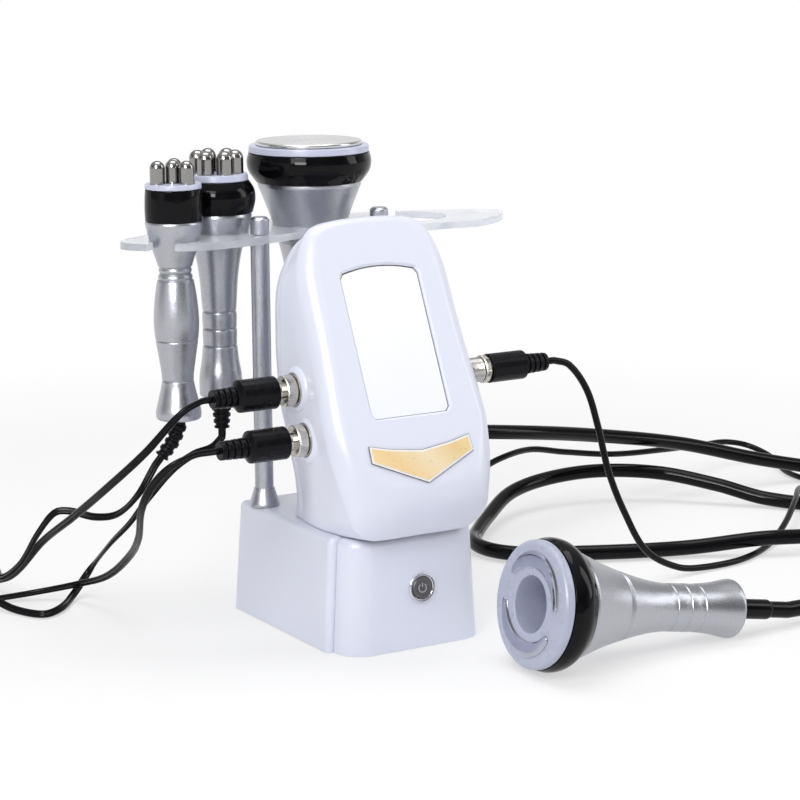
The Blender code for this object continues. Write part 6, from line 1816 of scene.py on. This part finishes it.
def make_twin_cord(name, plan, plug_route, handle_route, finish):
    """A twin lead from its plug through its coil, and on to its handpiece."""
    coil, ways = coil_points(plan)
    into = cord_line(plug_end(name), plug_route, (coil[0], -ways[0]), LIMP_RADIUS)
    onward = [coil[-1]] + cord_line((coil[-1], ways[1]), handle_route, finish, LIMP_RADIUS)
    tie = make_tie(name, plan)
    section = twin_section()
    first = [*into, *coil]
    add_cord(name + "_lead_coiled", first, lambda index: section, "cord", "cord_black",
             [name + "_cord_plug_side", name + "_cord_coil"], 2 * LIMP_RADIUS, far_end="object",
             stiffness="limp", lay="coiled", with_pieces=[tie])
    add_cord(name + "_lead_onward", onward, lambda index: section, "cord", "cord_black",
             [name + "_cord_handle_side"], 2 * LIMP_RADIUS, far_end="object", stiffness="limp",
             lay="loose", follow=(name + "_handpiece", *FOLLOW[name]))


def make_cords(ends):
    """The three leads and the hose, up to the handpieces' ends."""
    make_twin_cord("small", SMALL_COIL, SMALL_PLUG_ROUTE, SMALL_HANDLE_ROUTE, ends["small"])
    make_twin_cord("medium", MEDIUM_COIL, MEDIUM_PLUG_ROUTE, MEDIUM_HANDLE_ROUTE, ends["medium"])
    round_cord = round_section(ROUND_CORD_RADIUS)
    line = cord_line(plug_end("cavitation"), CAVITATION_ROUTE, ends["cavitation"], ROUND_CORD_RADIUS)
    add_cord("cavitation_lead", line, lambda index: round_cord, "cord", "cord_black", ["cavitation_cord"],
             2 * ROUND_CORD_RADIUS, far_end="object", stiffness="medium", lay="loose",
             follow=("cavitation_handpiece", *FOLLOW["cavitation"]))
    nozzle = (NOZZLE_X, rear_seat(NOZZLE_Z) + GAP + NOZZLE_FLANGE + NOZZLE_LENGTH, NOZZLE_Z)
    hose = round_section(HOSE_RADIUS, HOSE_STEPS)
    line = cord_line((nozzle, (0, 1, 0)), HOSE_ROUTE, ends["vacuum"], HOSE_RADIUS)
    add_cord("vacuum_air_hose", line, lambda index: hose, "hose", "hose_black", ["vacuum_hose"],
             2 * HOSE_RADIUS, far_end="object", stiffness="medium", lay="loose",
             follow=("vacuum_handpiece", *FOLLOW["vacuum"]))


# ---------------------------------------------------------------- carried-over nodes, stage and light


def repaint_nodes():
    """New materials for the CAD nodes that stay as they are."""
    stays = {"base_bottom_plate": "inner", "power_supply": "circuit", "vacuum_pump": "grey_metal",
             "button_switch": "rubber", "display_module": "rubber"}
    for node, look in stays.items():
        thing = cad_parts[node]
        if not thing.material_slots:
            thing.data.materials.append(MATERIALS[look])
        for holder in thing.material_slots:
            holder.material = MATERIALS[look]


def make_camera():
    """The camera that the photograph was fitted with."""
    forward = Vector((-math.sin(CAMERA_AZIMUTH) * math.cos(CAMERA_PITCH),
                      math.cos(CAMERA_AZIMUTH) * math.cos(CAMERA_PITCH), -math.sin(CAMERA_PITCH)))
    level = Vector((math.cos(CAMERA_AZIMUTH), math.sin(CAMERA_AZIMUTH), 0))
    upright = level.cross(forward)
    right = level * math.cos(CAMERA_ROLL) - upright * math.sin(CAMERA_ROLL)
    up = upright * math.cos(CAMERA_ROLL) + level * math.sin(CAMERA_ROLL)
    data = bpy.data.cameras.new("camera")
    data.lens = CAMERA_LENS
    data.sensor_width = CAMERA_SENSOR
    turn = Matrix((right, up, -forward)).transposed().to_4x4()
    bpy.context.scene.camera = place_object("camera", data, Matrix.Translation(CAMERA_SPOT) @ turn)


def seen_share(tree):
    """1 for the rays that see a surface directly, in a mirror or through glass, else 0."""
    rays = add_node(tree, "ShaderNodeLightPath").outputs
    plain = calculate(tree, "MAXIMUM", rays["Is Camera Ray"], rays["Is Glossy Ray"])
    return calculate(tree, "MAXIMUM", plain, rays["Is Transmission Ray"])


def make_floor():
    """A white floor that keeps the machine's shadow."""
    builder = bmesh.new()
    bmesh.ops.create_grid(builder, x_segments=FLOOR_CELLS, y_segments=FLOOR_CELLS, size=FLOOR_SIZE)
    floor = add_object("floor", builder, Matrix.Translation((0, 0, -GAP)))
    material = bpy.data.materials.new("floor")
    material.use_nodes = True
    tree = material.node_tree
    tree.nodes.remove(tree.nodes["Principled BSDF"])
    diffuse = add_node(tree, "ShaderNodeBsdfDiffuse", {"Color": FLOOR_COLOUR})
    glow = add_node(tree, "ShaderNodeEmission", {"Color": (1, 1, 1, 1)})
    places = add_node(tree, "ShaderNodeTexCoord").outputs["Object"]
    reach = add_node(tree, "ShaderNodeVectorMath", {0: places}, operation="LENGTH").outputs["Value"]
    fade = map_range(tree, reach, (FLOOR_NEAR, FLOOR_FAR), (FLOOR_GLOW, 1.0), "SMOOTHSTEP")
    share = calculate(tree, "MULTIPLY", seen_share(tree), fade)
    mix = add_node(tree, "ShaderNodeMixShader",
                   {"Fac": share, 1: diffuse.outputs["BSDF"], 2: glow.outputs["Emission"]})
    tree.links.new(mix.outputs["Shader"], tree.nodes["Material Output"].inputs["Surface"])
    floor.data.materials.append(material)


def studio_sides(tree, apart):
    """The room's brightness round the machine, by the compass bearing of what is looked at."""
    bearing = calculate(tree, "ARCTAN2", apart.outputs["Y"], apart.outputs["X"])
    stops = [((degrees + 180) / 360, (level,) * 3) for degrees, level in STUDIO_SIDES]
    return colour_ramp(tree, map_range(tree, bearing, (-math.pi, math.pi)), stops, "EASE")


def studio_share(tree, apart):
    """How far the room's sides count: in reflections only, and less towards the ceiling."""
    rays = add_node(tree, "ShaderNodeLightPath").outputs
    height = map_range(tree, apart.outputs["Z"], (STUDIO_HIGH, STUDIO_LOW))
    return calculate(tree, "MULTIPLY", rays["Is Glossy Ray"], height)


def make_world():
    """Plain light all round; seen directly or in a reflection it is white at the horizon."""
    world = bpy.data.worlds.new("studio")
    bpy.context.scene.world = world
    world.use_nodes = True
    tree = world.node_tree
    places = add_node(tree, "ShaderNodeTexCoord").outputs["Generated"]
    apart = add_node(tree, "ShaderNodeSeparateXYZ", {"Vector": places})
    stops = [(place, (level,) * 3) for place, level in WORLD_STOPS]
    inputs = {"Factor": studio_share(tree, apart), "A": colour_ramp(tree, apart.outputs["Z"], stops),
              "B": studio_sides(tree, apart)}
    sides = add_node(tree, "ShaderNodeMix", inputs, data_type="RGBA", blend_type="MULTIPLY")
    strength = map_range(tree, seen_share(tree), (0.0, 1.0), (WORLD_LEVEL, 1.0))
    background = tree.nodes["Background"]
    tree.links.new(sides.outputs["Result"], background.inputs["Color"])
    tree.links.new(strength, background.inputs["Strength"])


def make_lamps():
    """The lamps of the table."""
    for name, spot, aim, size, power, plain in LAMPS:
        data = bpy.data.lights.new(name, "AREA")
        data.shape = "RECTANGLE"
        data.size, data.size_y = size
        data.energy = power
        turn = (Vector(aim) - Vector(spot)).to_track_quat("-Z", "Y").to_matrix().to_4x4()
        place_object(name, data, Matrix.Translation(spot) @ turn).visible_diffuse = plain


def main():
    """Builds the whole scene."""
    bpy.context.scene.view_settings.view_transform = "Standard"
    make_camera()
    make_base()
    make_button()
    make_inlet()
    make_nozzle()
    make_head()
    make_screen()
    make_badge()
    make_connectors()
    make_posts()
    make_tray()
    ends = {
        "small": make_upright("small", SMALL_DOMES, SMALL_RELIEF),
        "medium": make_upright("medium", MEDIUM_DOMES, MEDIUM_RELIEF),
        "cavitation": make_upright("cavitation", None, CAVITATION_RELIEF),
        "vacuum": make_vacuum(),
    }
    make_cords(ends)
    repaint_nodes()
    make_floor()
    make_world()
    make_lamps()


MATERIALS = make_looks()
main()
